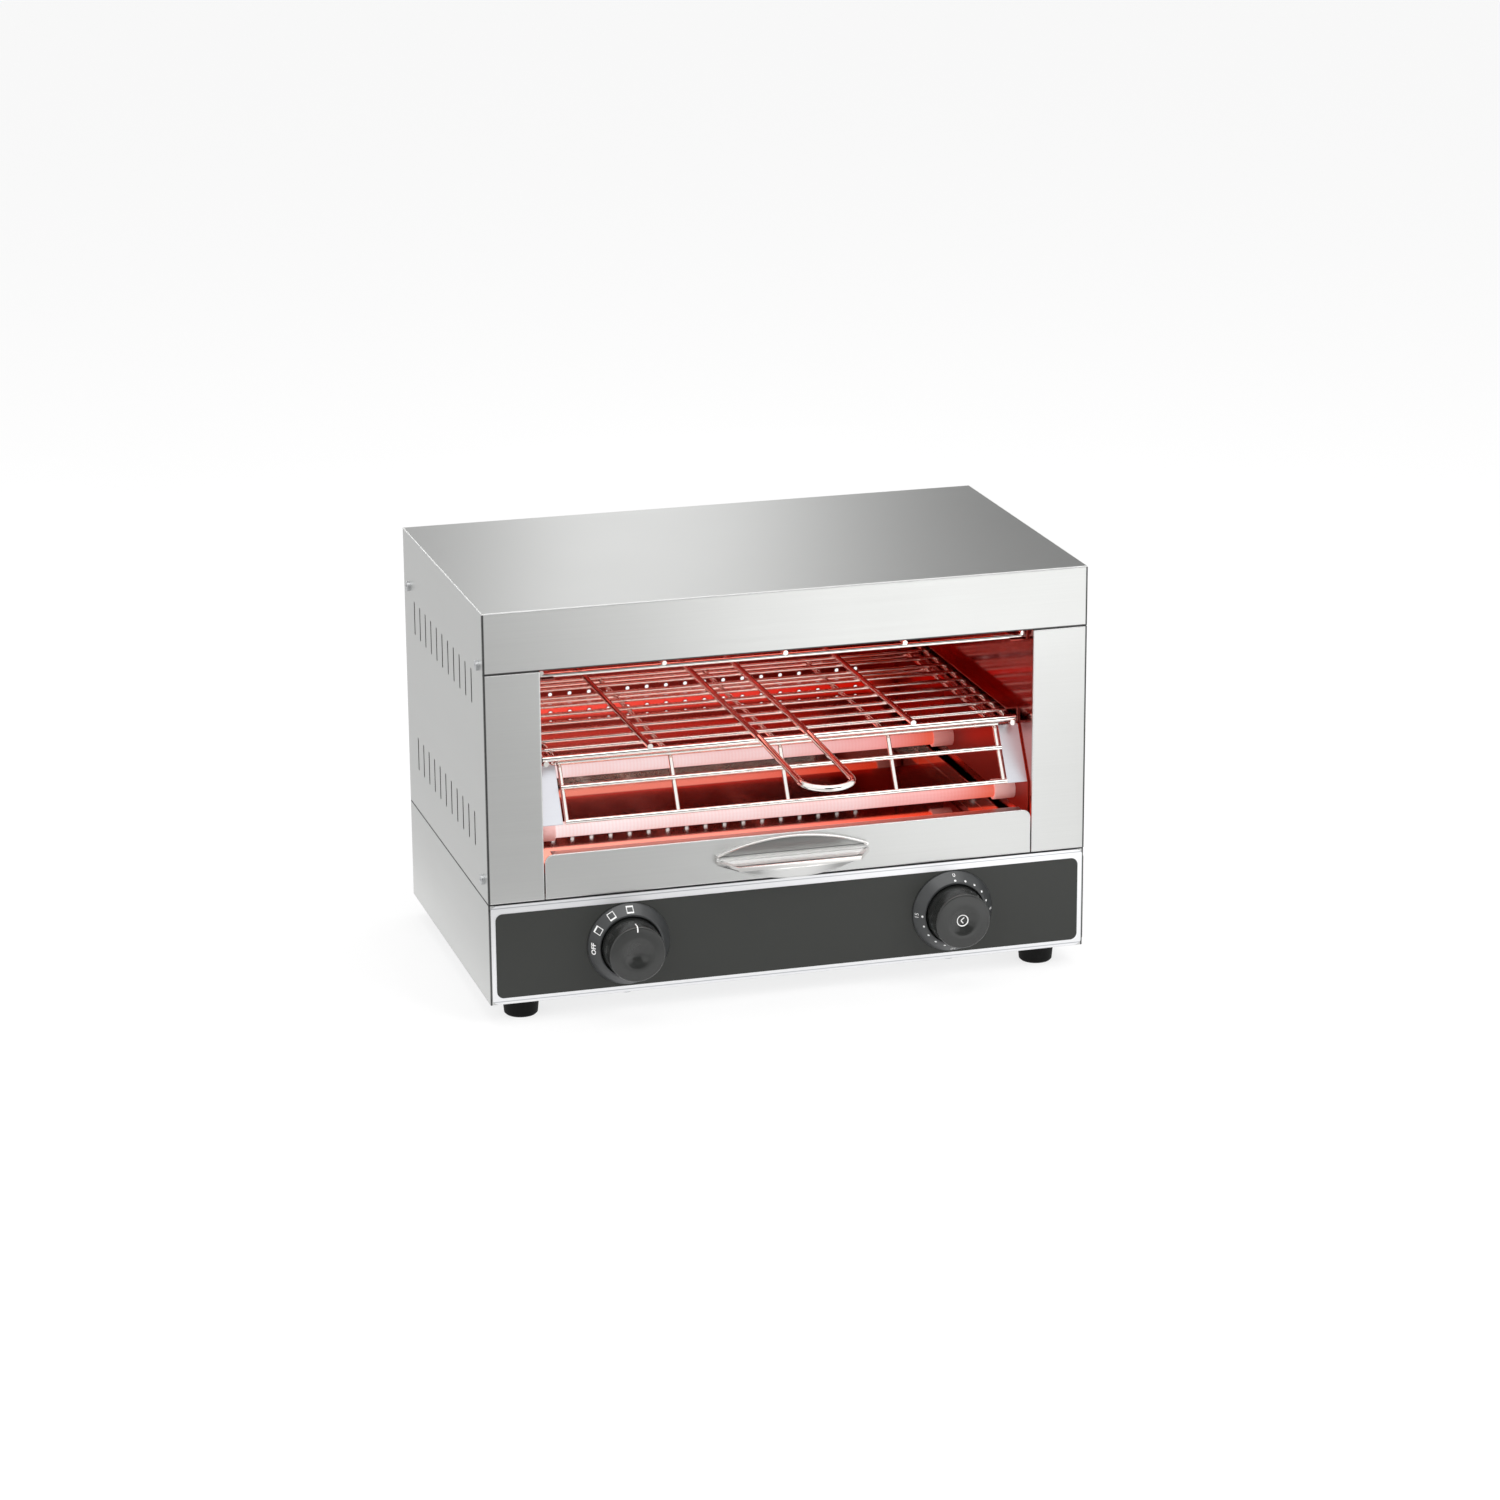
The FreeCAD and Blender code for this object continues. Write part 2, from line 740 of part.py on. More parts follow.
def foot_places():
    side = "half_width - foot_inset_side"
    depth = "rear - foot_inset_front"
    return [(f"{x}({side})", f"{y}({depth})") for x in ("-", "") for y in ("-", "")]


def base_screw_places():
    depths = ("housing_inner_front + base_lip / 2", "housing_inner_rear - base_lip / 2")
    return [(f"{sign}dial_spacing / 2", depth) for sign in ("-", "") for depth in depths]


def base_housing():
    # Four walls with an inward rim on top and an inward lip at the bottom
    item = piece("base_housing")
    block = sketch(item, "block", "plan")
    rectangle(block, ("-half_width", "housing_front"), ("half_width", "rear"))
    pad(item, "block_pad", block, "base_height", "up")
    opening = sketch(item, "rim", "plan")
    low = ("-half_width + base_rim", "housing_front + base_rim")
    rectangle(opening, low, ("half_width - base_rim", "rear - base_rim"))
    pocket(item, "rim_cut", opening, "up")
    inside = sketch(item, "inside", "plan", "lip_bottom + base_sheet")
    inner = ("-(housing_inside)", "housing_inner_front"), ("housing_inside", "housing_inner_rear")
    rectangle(inside, *inner)
    pocket(item, "inside_cut", inside, "up", "base_height - (lip_bottom) - 2 * base_sheet")
    bottom = sketch(item, "lip", "plan")
    low = ("-(housing_inside) + base_lip", "housing_inner_front + base_lip")
    rectangle(bottom, low, ("housing_inside - base_lip", "housing_inner_rear - base_lip"))
    pocket(item, "lip_cut", bottom, "up", "lip_bottom + 2 * base_sheet")
    recess = sketch(item, "recess", "plan")
    rectangle(recess, *inner)
    pocket(item, "recess_cut", recess, "up", "lip_bottom")
    dials = sketch(item, "dials", "front", "housing_front")
    circles(dials, dial_places(), "bush_diameter / 2 + lap_gap")
    pocket(item, "dial_cut", dials, "rear", "2 * base_sheet")
    gland = sketch(item, "gland", "front", "rear")
    circle(gland, ("-(gland_place)", "gland_height"), "gland_diameter / 2 + lap_gap")
    pocket(item, "gland_cut", gland, "front", "2 * base_sheet")
    holes = sketch(item, "screws", "plan")
    circles(holes, base_screw_places(), "screw_hole")
    pocket(item, "screw_cut", holes, "up", "lip_bottom + 2 * base_sheet")
    risers = sketch(item, "risers", "plan", "base_height")
    centres = [(f"{sign}(riser_side)", "riser_place") for sign in ("-", "")]
    circles(risers, centres, "lead_diameter")
    pocket(item, "riser_cut", risers, "down", "2 * base_sheet")


def base_plate():
    item = piece("base_plate")
    face = sketch(item, "face", "plan")
    low = ("-(housing_inside) + lap_gap", "housing_inner_front + lap_gap")
    rectangle(face, low, ("housing_inside - lap_gap", "housing_inner_rear - lap_gap"))
    pad(item, "sheet", face, "base_sheet", "up")
    vent = sketch(item, "vent", "plan")
    first = "-floor_slot_pitch * (floor_slot_count - 1) / 2"
    slot(vent, (first, "0"), "floor_slot_length / 2", "floor_slot_width / 2")
    cut = pocket(item, "vent_cut", vent, "up")
    pattern(item, "vents", cut, "X_Axis", "floor_slot_pitch", "floor_slot_count")
    holes = sketch(item, "holes", "plan")
    circles(holes, foot_places() + base_screw_places(), "screw_hole")
    pocket(item, "hole_cut", holes, "up")


def control_fascia():
    # Bright plate over the front of the base
    item = piece("control_fascia")
    face = sketch(item, "face", "front", "front")
    low = ("-half_width", "fascia_gap")
    rectangle(face, low, ("half_width", "base_height - fascia_gap"))
    feature = pad(item, "sheet", face, "fascia_sheet", "rear")
    corners = corner_edges(feature, "half_width", ("fascia_gap", "base_height - fascia_gap"))
    round_edges(item, "corners", feature, corners, "fascia_corner")
    dials = sketch(item, "dials", "front", "front")
    circles(dials, dial_places(), "bush_diameter / 2 + lap_gap")
    pocket(item, "dial_cut", dials, "rear")


def control_overlay():
    # Black film on the fascia, inside its bright border
    item = piece("control_overlay")
    low, high = "overlay_bottom", "base_height - overlay_top"
    side = "half_width - overlay_side"
    face = sketch(item, "face", "front", "overlay_front")
    rectangle(face, (f"-({side})", low), (side, high))
    feature = pad(item, "film", face, "overlay_sheet", "rear")
    corners = corner_edges(feature, side, (low, high))
    round_edges(item, "corners", feature, corners, "overlay_corner")
    dials = sketch(item, "dials", "front", "overlay_front")
    circles(dials, dial_places(), "bush_diameter / 2 + lap_gap")
    pocket(item, "dial_cut", dials, "rear")


def feet():
    item = piece("feet", "-half_width + foot_inset_side", "front + foot_inset_front", "0")
    section = sketch(item, "section", "front")
    corners = [
        ("screw_hole", "0"),
        ("foot_top_diameter / 2", "0"),
        ("foot_bottom_diameter / 2 + foot_edge / 2", "-foot_height + foot_edge"),
        ("foot_bottom_diameter / 2 - foot_edge / 2", "-foot_height"),
        ("foot_recess_diameter / 2", "-foot_height"),
        ("foot_recess_diameter / 2", "-foot_height + foot_recess_depth"),
        ("screw_hole", "-foot_height + foot_recess_depth"),
    ]
    polygon(section, corners)
    foot = revolve(item, "foot", section, "Z_Axis")
    along = "(body_width - 2 * foot_inset_side)"
    deep = ("Y_Axis", "(body_depth - 2 * foot_inset_front)", "2")
    pattern(item, "set", foot, "X_Axis", along, "2", deep)


def screws(item, name, plane, surface, toward, centres, length):
    # Pan-head screws that stand on a surface, each with a cross recess and a plain shank
    back = opposite[toward]
    heads = sketch(item, f"{name}_heads", plane, surface)
    circles(heads, centres, "screw_head_diameter / 2")
    pad(item, f"{name}_head_pad", heads, "screw_head_height", toward)
    sign = "+" if toward in ("up", "right", "rear") else "-"
    long, short = "recess_length / 2", "recess_width / 2"
    for turn, (wide, tall) in enumerate(((short, long), (long, short))):
        top = f"{surface} {sign} screw_head_height"
        cross = sketch(item, f"{name}_cross_{turn}", plane, top)
        for x, y in centres:
            rectangle(cross, (f"{x} - {wide}", f"{y} - {tall}"), (f"{x} + {wide}", f"{y} + {tall}"))
        pocket(item, f"{name}_recess_{turn}", cross, back, "screw_recess")
    shanks = sketch(item, f"{name}_shanks", plane, surface)
    circles(shanks, centres, "screw_diameter / 2")
    pad(item, f"{name}_shank_pad", shanks, length, back)


def cover_screws():
    # Three screws on each side of the cover
    item = piece("cover_screws")
    for toward, sign in (("left", "-"), ("right", "")):
        surface = f"{sign}half_width"
        screws(item, toward, "side", surface, toward, cover_screw_places(), "screw_length")


def rear_screws():
    centres = [
        (f"{sign}(rear_screw_side)", height)
        for sign in ("-", "")
        for height in rear_screw_heights()
    ]
    screws(piece("rear_screws"), "rear", "front", "panel_rear", "rear", centres, "screw_length")


def foot_screws():
    surface = "-foot_height + foot_recess_depth"
    length = "screw_length + foot_height - foot_recess_depth"
    screws(piece("foot_screws"), "foot", "plan", surface, "down", foot_places(), length)


def base_screws():
    screws(piece("base_screws"), "base", "plan", "0", "down", base_screw_places(), "screw_length")


def dial(label, sign):
    return piece(label, f"{sign}dial_spacing / 2", "overlay_front", "dial_height")


def bezel(label, sign):
    # Fixed conical ring that carries the dial marks
    item = dial(label, sign)
    section = sketch(item, "section", "side")
    corners = [
        ("0", "bezel_bore / 2"),
        ("0", "bezel_diameter / 2"),
        ("-bezel_edge", "bezel_diameter / 2"),
        ("-bezel_height", "bezel_top_diameter / 2"),
        ("-bezel_height", "bezel_bore / 2"),
    ]
    polygon(section, corners)
    revolve(item, "ring", section, "Y_Axis")


def knob(label, sign, pointer):
    item = dial(label, sign)
    section = sketch(item, "section", "side")
    corners = [
        ("-knob_back_gap", "0"),
        ("-knob_back_gap", "knob_back_diameter / 2"),
        ("-knob_reach + knob_edge", "knob_diameter / 2"),
        ("-knob_reach", "knob_diameter / 2 - knob_edge"),
        ("-knob_reach", "dish_diameter / 2"),
        ("-knob_reach + dish_depth", "dish_floor_diameter / 2"),
        ("-knob_reach + dish_depth", "0"),
    ]
    polygon(section, corners)
    revolve(item, "turned", section, "Y_Axis")
    bore = sketch(item, "bore", "front", "-knob_back_gap")
    circle(bore, ("0", "0"), "shaft_diameter / 2 + knob_slack")
    pocket(item, "bore_cut", bore, "front", "shaft_grip")
    if pointer:
        mark = sketch(item, "pointer", "front", "-knob_reach")
        top = "knob_diameter / 2 - knob_edge"
        low = ("-pointer_width / 2", f"{top} - pointer_length")
        rectangle(mark, low, ("pointer_width / 2", top))
        pocket(item, "pointer_cut", mark, "rear", "pointer_depth")


def shaft(label, sign):
    # Steel spindle with a flat where the knob grips it
    item = dial(label, sign)
    section = sketch(item, "section", "front", "-knob_back_gap - shaft_grip + screw_slack")
    circle(section, ("0", "0"), "shaft_diameter / 2")
    reach = "knob_back_gap + shaft_grip - screw_slack + panel_stack + shaft_tail"
    pad(item, "spindle", section, reach, "rear")
    flat = sketch(item, "flat", "front", "-knob_back_gap - shaft_grip + screw_slack")
    low = ("-shaft_diameter / 2", "shaft_diameter / 2 - shaft_flat")
    rectangle(flat, low, ("shaft_diameter / 2", "shaft_diameter / 2"))
    pocket(item, "flat_cut", flat, "rear", "shaft_grip - screw_slack")


def switch(label, sign, width, clearance, depth):
    # Switch body behind the base's front wall, with its threaded bush through the panel
    item = dial(label, sign)
    face = sketch(item, "face", "front", "panel_stack")
    rise = f"(base_height / 2 - {clearance})"
    rectangle(face, (f"-{width} / 2", f"-{rise}"), (f"{width} / 2", rise))
    pad(item, "case", face, depth, "rear")
    bush = sketch(item, "bush", "front", "panel_stack")
    circle(bush, ("0", "0"), "bush_diameter / 2")
    pad(item, "bush_pad", bush, "panel_stack + bush_reach", "front")
    bore = sketch(item, "bore", "front", "-bush_reach")
    circle(bore, ("0", "0"), "shaft_diameter / 2 + shaft_slack")
    reach = "bush_reach + panel_stack + shaft_tail + shaft_end_gap"
    pocket(item, "bore_cut", bore, "rear", reach)


def hexagon(drawing, centre, width):
    # Corners at 60 degree steps around a nut of the given width across flats
    x, y = centre
    corners = []
    for step in range(6):
        along = f"{x} + {width} / 2 / cos(30) * cos({60 * step})"
        across = f"{y} + {width} / 2 / cos(30) * sin({60 * step})"
        corners.append((along, across))
    polygon(drawing, corners)


def shaft_nuts():
    item = piece("shaft_nuts")
    face = sketch(item, "face", "front", "overlay_front")
    for place in dial_places():
        hexagon(face, place, "nut_width")
        circle(face, place, "bush_diameter / 2 + nut_slack")
    pad(item, "nuts", face, "nut_height", "front")


# Heating

def quartz_tube(label, depth, height):
    item = piece(label, "0", depth, height)
    section = sketch(item, "section", "side")
    circle(section, ("0", "0"), "tube_diameter / 2")
    circle(section, ("0", "0"), "tube_diameter / 2 - tube_wall")
    pad(item, "tube", section, "2 * (tube_half)", "both")


def heating_elements():
    # A wound element along each tube, with a thin pin out of each end
    item = piece("heating_elements")
    for name, radius, length in (
        ("element", "element_diameter / 2", "2 * (cap_inside)"),
        ("pin", "pin_diameter / 2", "2 * (stub_end + pin_reach)"),
    ):
        section = sketch(item, name, "side")
        circles(section, tube_places(), radius)
        pad(item, f"{name}_pad", section, length, "both")


def tube_caps(label, height):
    # Ceramic sockets on both ends of a front and a rear tube
    item = piece(label)
    centres = [(depth, height) for depth in ("tube_front_place", "tube_rear_place")]
    for name, sign, outward in (("left", "-", "left"), ("right", "", "right")):
        body = sketch(item, f"{name}_body", "side", f"{sign}(cap_inside)")
        circles(body, centres, "cap_diameter / 2")
        pad(item, f"{name}_pad", body, "cap_length", outward)
        stub = sketch(item, f"{name}_stub", "side", f"{sign}(plate_inside)")
        circles(stub, centres, "stub_diameter / 2")
        pad(item, f"{name}_stub_pad", stub, "stub_length", outward)
        socket = sketch(item, f"{name}_socket", "side", f"{sign}(cap_inside)")
        circles(socket, centres, "tube_diameter / 2 + shaft_slack")
        pocket(item, f"{name}_socket_cut", socket, outward, "cap_grip + shaft_slack")
        lead = sketch(item, f"{name}_lead", "side", f"{sign}(cap_inside)")
        circles(lead, centres, "pin_diameter / 2 + shaft_slack")
        pocket(item, f"{name}_lead_cut", lead, outward, "cap_length + stub_length")


def bracket_holes(item, sign, outward, height):
    holes = sketch(item, "holes", "side", f"{sign}(plate_inside)")
    centres = [(depth, height) for depth in ("tube_front_place", "tube_rear_place")]
    circles(holes, centres, "stub_hole")
    pocket(item, "hole_cut", holes, outward)


def lower_bracket(label, sign):
    # Tube holder on the side wall, with a bright sloping strip in front of the cap
    item = piece(label)
    outward = outward_of(sign)
    slope = "guard_slope / guard_drop"
    strip_foot = f"guard_knee - (bracket_top - bracket_strip_bottom) * {slope}"
    behind = "guard_knee + 2 * guard_wire"
    corners = [
        (strip_foot, "bracket_strip_bottom"),
        ("guard_knee", "bracket_top"),
        (behind, "bracket_top"),
        (behind, "guard_shelf"),
        ("bracket_back", "guard_shelf"),
        ("bracket_back", "bracket_bottom"),
        (strip_foot, "bracket_bottom"),
    ]
    plate = sketch(item, "plate", "side", f"{sign}(plate_inside)")
    polygon(plate, corners)
    pad(item, "plate_pad", plate, "bracket_sheet", outward)
    strip = sketch(item, "strip", "side", f"{sign}(plate_inside - bracket_strip)")
    corners = [
        (strip_foot, "bracket_strip_bottom"),
        ("guard_knee", "bracket_top"),
        ("guard_knee + bracket_sheet", "bracket_top"),
        (f"{strip_foot} + bracket_sheet", "bracket_strip_bottom"),
    ]
    polygon(strip, corners)
    pad(item, "strip_pad", strip, "bracket_strip + bracket_sheet", outward)
    bracket_holes(item, sign, outward, "lower_tube_height")


def upper_bracket(label, sign):
    # Tube holder whose turned-in ledge carries the upper guard
    item = piece(label)
    outward = outward_of(sign)
    shelf = "upper_guard_height - guard_radius"
    low, high = "front + upper_guard_front - guard_wire", "guard_back + guard_wire"
    plate = sketch(item, "plate", "side", f"{sign}(plate_inside)")
    rectangle(plate, (low, f"{shelf} - bracket_sheet"), (high, "ceiling_top - ceiling_flange - lap_gap"))
    pad(item, "plate_pad", plate, "bracket_sheet", outward)
    ledge = sketch(item, "ledge", "side", f"{sign}(plate_inside - ledge_width)")
    rectangle(ledge, (low, f"{shelf} - bracket_sheet"), (high, shelf))
    pad(item, "ledge_pad", ledge, "ledge_width + bracket_sheet", outward)
    bracket_holes(item, sign, outward, "upper_tube_height")


def route(drawing, corners, bend):
    # Straight runs through the corners, joined by tangent arcs of one radius
    points = [vector(corner) for corner in corners]
    radius = number(bend)
    edge_count = 0
    start = points[0]
    for before, knee, after in zip(points, points[1:], points[2:]):
        first, second = (before - knee).normalize(), (after - knee).normalize()
        half_angle = first.getAngle(second) / 2
        leave = knee + first * (radius / tan(half_angle))
        meet = knee + second * (radius / tan(half_angle))
        middle = knee + (first + second).normalize() * (radius / sin(half_angle) - radius)
        drawing.addGeometry(Part.LineSegment(start, leave), False)
        drawing.addGeometry(Part.Arc(leave, middle, meet), False)
        edge_count += 2
        start = meet
    drawing.addGeometry(Part.LineSegment(start, points[-1]), False)
    return edge_count + 1


def lower_guard():
    # Wires that bend over the front tube and run back under the rack
    item = piece("lower_guard")
    path = sketch(item, "path", "side", "-(guard_half_width)")
    corners = [
        ("guard_back", "guard_height"),
        ("guard_knee", "guard_height"),
        ("guard_foot", "guard_foot_height"),
    ]
    edge_count = route(path, corners, "guard_bend")
    profile = sketch(item, "profile", "front", "guard_back")
    circle(profile, ("-(guard_half_width)", "guard_height"), "guard_radius")
    wire = pipe(item, "wire", profile, path, edge_count)
    pattern(item, "wires", wire, "X_Axis", "guard_spacing", "guard_wire_count")


def slope_rods(drawing, heights):
    # Rods on the front of the guard's slope, square to it at the given heights
    run = "sqrt(guard_slope ^ 2 + guard_drop ^ 2)"
    for height in heights:
        along = f"guard_foot + guard_slope * ({height} - guard_foot_height) / guard_drop"
        depth = f"{along} - guard_step * guard_drop / {run}"
        circle(drawing, (depth, f"{height} + guard_step * guard_slope / {run}"), "guard_radius")


def lower_guard_rods():
    # Straight rods welded across the guard's wires; the long ones sit on the brackets
    item = piece("lower_guard_rods")
    front = sketch(item, "front", "side")
    slope_rods(front, ("guard_foot_height", "guard_middle_height", "guard_height"))
    pad(item, "front_pad", front, "2 * guard_half_width + guard_wire", "both")
    long = sketch(item, "long", "side")
    for depth in ("guard_knee + guard_perch", "bracket_back - guard_wire", "guard_back - guard_wire"):
        circle(long, (depth, "guard_height - guard_step"), "guard_radius")
    pad(item, "long_pad", long, "2 * (plate_inside - lap_gap)", "both")


def upper_guard():
    # Wires of the flat grid under the upper tubes
    item = piece("upper_guard")
    wire = sketch(item, "wire", "front", "front + upper_guard_front - guard_wire")
    circle(wire, ("-(upper_guard_half_width)", "upper_long_height"), "guard_radius")
    length = "guard_back - front - upper_guard_front + 2 * guard_wire"
    feature = pad(item, "wire_pad", wire, length, "rear")
    pattern(item, "wires", feature, "X_Axis", "upper_guard_spacing", "guard_wire_count")


def upper_guard_rods():
    # The grid's two cross rods, which lie on the ledges of the upper brackets
    item = piece("upper_guard_rods")
    rods = sketch(item, "rods", "side")
    for depth in ("front + upper_guard_front", "guard_back"):
        circle(rods, (depth, "upper_guard_height"), "guard_radius")
    pad(item, "rods_pad", rods, "2 * (plate_inside - lap_gap)", "both")


# Rack

def rack():
    # Cross wires between a thicker front and rear rod
    item = piece("rack")
    rods = sketch(item, "rods", "side")
    circle(rods, ("rack_front_place", "rack_height"), "rack_rod / 2")
    circle(rods, ("rack_rear_place", "rack_height"), "rack_rod / 2")
    pad(item, "rods_pad", rods, "2 * rack_half_width", "both")
    wire = sketch(item, "wire", "side")
    circle(wire, ("rack_front_place + rack_wire_pitch", "rack_height"), "rack_wire / 2")
    feature = pad(item, "wire_pad", wire, "2 * rack_half_width", "both")
    pattern(item, "wires", feature, "Y_Axis", "rack_wire_pitch", "rack_wire_count")


def rack_side_rods():
    # Runners welded under the rack's ends, and two long rods over its wires
    item = piece("rack_side_rods")
    rods = sketch(item, "rods", "front", "rack_front_place - rack_rod / 2")
    for sign in ("-", ""):
        circle(rods, (f"{sign}(rack_side_place)", "rack_side_height"), "rack_side_rod / 2")
        circle(rods, (f"{sign}rack_long_spacing / 2", "rack_long_height"), "rack_side_rod / 2")
    pad(item, "rods_pad", rods, "rack_rear_place - rack_front_place + rack_rod", "rear")


def rack_handle():
    # One wire in a long U: level over the rack, and sloping a little down in front of it
    item = piece("rack_handle", "0", "loop_knee", "loop_height")
    half = "loop_spacing / 2"
    level = sketch(item, "level", "front")
    circles(level, [(f"-{half}", "0"), (half, "0")], "loop_wire / 2")
    pad(item, "level_pad", level, "rear - loop_rear_gap - loop_knee", "rear")
    path = sketch(item, "path", "plan")
    path.AttachmentOffset = FreeCAD.Placement(FreeCAD.Vector(), FreeCAD.Rotation(FreeCAD.Vector(1, 0, 0), 1))
    path.setExpression("AttachmentOffset.Rotation.Angle", formula("loop_slope"))
    centre = f"-(loop_length) + {half}"
    left = line(path, (f"-{half}", "0"), (f"-{half}", centre))
    bend = arc(path, (f"-{half}", centre), ("0", "-(loop_length)"), (half, centre))
    right = line(path, (half, centre), (half, "0"))
    fix_point(path, left, 1, (f"-{half}", "0"))
    path.addConstraint(Sketcher.Constraint("Tangent", left, 2, bend, 1))
    path.addConstraint(Sketcher.Constraint("Tangent", bend, 2, right, 1))
    fix_point(path, bend, 3, ("0", centre))
    fix_point(path, right, 2, (half, "0"))
    profile = sketch(item, "profile", "front")
    circle(profile, (f"-{half}", "0"), "loop_wire / 2")
    pipe(item, "wire", profile, path, 3)


def rack_rail(label, sign):
    # Channel on the side wall, closed at the rear to stop the rack
    item = piece(label)
    section = sketch(item, "section", "front", "front + rail_front")
    inner = "plate_outside - rail_ledge"
    corners = [
        (inner, "rail_top - rail_sheet"),
        ("plate_outside", "rail_top - rail_sheet"),
        ("plate_outside", "rail_roof + rail_sheet"),
        ("plate_outside - rail_roof_width", "rail_roof + rail_sheet"),
        ("plate_outside - rail_roof_width", "rail_roof"),
        ("plate_outside - rail_sheet", "rail_roof"),
        ("plate_outside - rail_sheet", "rail_top"),
        (inner, "rail_top"),
    ]
    polygon(section, [(f"{sign}({x})", z) for x, z in corners])
    pad(item, "channel", section, "rear - rail_rear_gap - (front + rail_front)", "rear")
    stop = sketch(item, "stop", "front", "rear - rail_rear_gap")
    low = (f"{sign}({inner})", "rail_top - rail_sheet")
    rectangle(stop, low, (f"{sign}(plate_outside)", "rail_roof + rail_sheet"))
    pad(item, "stop_pad", stop, "rail_sheet", "front")


# Crumb tray

def crumb_tray():
    item = piece("crumb_tray")
    block = sketch(item, "block", "plan", "pan_bottom")
    rear = "rear - pan_rear_gap"
    rectangle(block, ("-(pan_half)", "pan_front"), ("pan_half", rear))
    pad(item, "block_pad", block, "pan_rim", "up")
    hollow = sketch(item, "hollow", "plan", "pan_bottom + tray_sheet")
    low = ("-(pan_half) + tray_sheet", "pan_front")
    rectangle(hollow, low, ("pan_half - tray_sheet", f"{rear} - tray_sheet"))
    pocket(item, "hollow_cut", hollow, "up")


def tray_front():
    # Front panel of the tray, with round top corners and a hem behind its top edge
    item = piece("tray_front")
    face = sketch(item, "face", "front", "front")
    rectangle(face, ("-(tray_half)", "tray_bottom"), ("tray_half", "tray_top"))
    feature = pad(item, "sheet", face, "tray_sheet", "rear")
    corners = corner_edges(feature, "tray_half", ("tray_top",))
    round_edges(item, "corners", feature, corners, "tray_front_corner")
    hem = sketch(item, "hem", "front", "pan_front")
    side = "tray_half - tray_front_corner"
    rectangle(hem, (f"-({side})", "tray_top - tray_sheet"), (side, "tray_top"))
    pad(item, "hem_pad", hem, "tray_hem", "rear")
    holes = sketch(item, "holes", "front", "front")
    circles(holes, pull_screw_places(), "screw_hole")
    pocket(item, "hole_cut", holes, "rear")


def pull_screw_places():
    return [(f"{sign}pull_screw_spacing / 2", "pull_screw_height") for sign in ("-", "")]


def lens(drawing, half, tip, low, high, tip_height):
    # Two arcs between short upright tips
    ends = {
        "low_left": (f"-({half})", f"{tip_height} - {tip}"),
        "low_right": (half, f"{tip_height} - {tip}"),
        "high_right": (half, f"{tip_height} + {tip}"),
        "high_left": (f"-({half})", f"{tip_height} + {tip}"),
    }
    bottom = arc(drawing, ends["low_left"], ("0", low), ends["low_right"])
    right = line(drawing, ends["low_right"], ends["high_right"])
    top = arc(drawing, ends["high_right"], ("0", high), ends["high_left"])
    left = line(drawing, ends["high_left"], ends["low_left"])
    join(drawing, bottom, 2, right, 1)
    join(drawing, right, 2, top, 1)
    join(drawing, top, 2, left, 1)
    join(drawing, left, 2, bottom, 1)
    fix_point(drawing, right, 1, ends["low_right"])
    fix_point(drawing, right, 2, ends["high_right"])
    fix_point(drawing, left, 1, ends["high_left"])
    fix_point(drawing, left, 2, ends["low_left"])
    for index, sagitta in (
        (bottom, f"({tip_height} - {tip} - ({low}))"),
        (top, f"({high} - ({tip_height}) - {tip})"),
    ):
        radius = f"(({half}) ^ 2 + {sagitta} ^ 2) / (2 * {sagitta})"
        size = drawing.addConstraint(Sketcher.Constraint("Radius", index, number(radius)))
        drawing.setExpression(f"Constraints[{size}]", formula(radius))


def tray_handle():
    # Cup-shaped cast pull: a lens outline, a straight lip and a finger recess behind it
    item = piece("tray_handle")
    plan = sketch(item, "plan", "plan", "pull_bottom")
    half = "pull_width / 2"
    lip = f"({half} - pull_end)"
    lip_place = "front - pull_reach"
    corners = [
        (f"-{half}", "front"),
        (f"-{half}", "front - pull_side"),
        (f"-{lip}", lip_place),
        (lip, lip_place),
        (half, "front - pull_side"),
        (half, "front"),
    ]
    polygon(plan, corners)
    pad(item, "plan_pad", plan, "pull_top - pull_bottom", "up")
    outline = sketch(item, "outline", "front", "front")
    low = (f"-{half} - pull_wall", "pull_bottom - pull_wall")
    rectangle(outline, low, (f"{half} + pull_wall", "pull_top + pull_wall"))
    lens(outline, half, "pull_tip", "pull_bottom", "pull_top", "pull_tip_height")
    pocket(item, "outline_cut", outline, "front")
    over = sketch(item, "over", "side")
    corners = [
        ("front - pull_wall", "pull_top + pull_wall"),
        ("front - pull_wall", "pull_top"),
        (lip_place, "pull_lip_height"),
        (f"{lip_place} - pull_wall", "pull_lip_height"),
        (f"{lip_place} - pull_wall", "pull_top + pull_wall"),
    ]
    polygon(over, corners)
    pocket(item, "over_cut", over, "both")
    under = sketch(item, "under", "side")
    corners = [
        (f"{lip_place} - pull_wall", "pull_bottom - pull_wall"),
        ("front - pull_heel", "pull_bottom - pull_wall"),
        ("front - pull_heel", "pull_bottom"),
        (lip_place, "pull_under"),
        (f"{lip_place} - pull_wall", "pull_under"),
    ]
    polygon(under, corners)
    pocket(item, "under_cut", under, "both")
    recess = sketch(item, "recess", "front", "front - pull_wall")
    lens(recess, lip, "pull_tip", "pull_bottom + pull_floor", "pull_top + pull_wall", "pull_tip_height")
    pocket(item, "recess_cut", recess, "front", "pull_reach - 2 * pull_wall")
    holes = sketch(item, "holes", "front", "front")
    circles(holes, pull_screw_places(), "screw_diameter / 2 + pull_thread_slack")
    pocket(item, "hole_cut", holes, "front", "pull_thread + lap_gap")


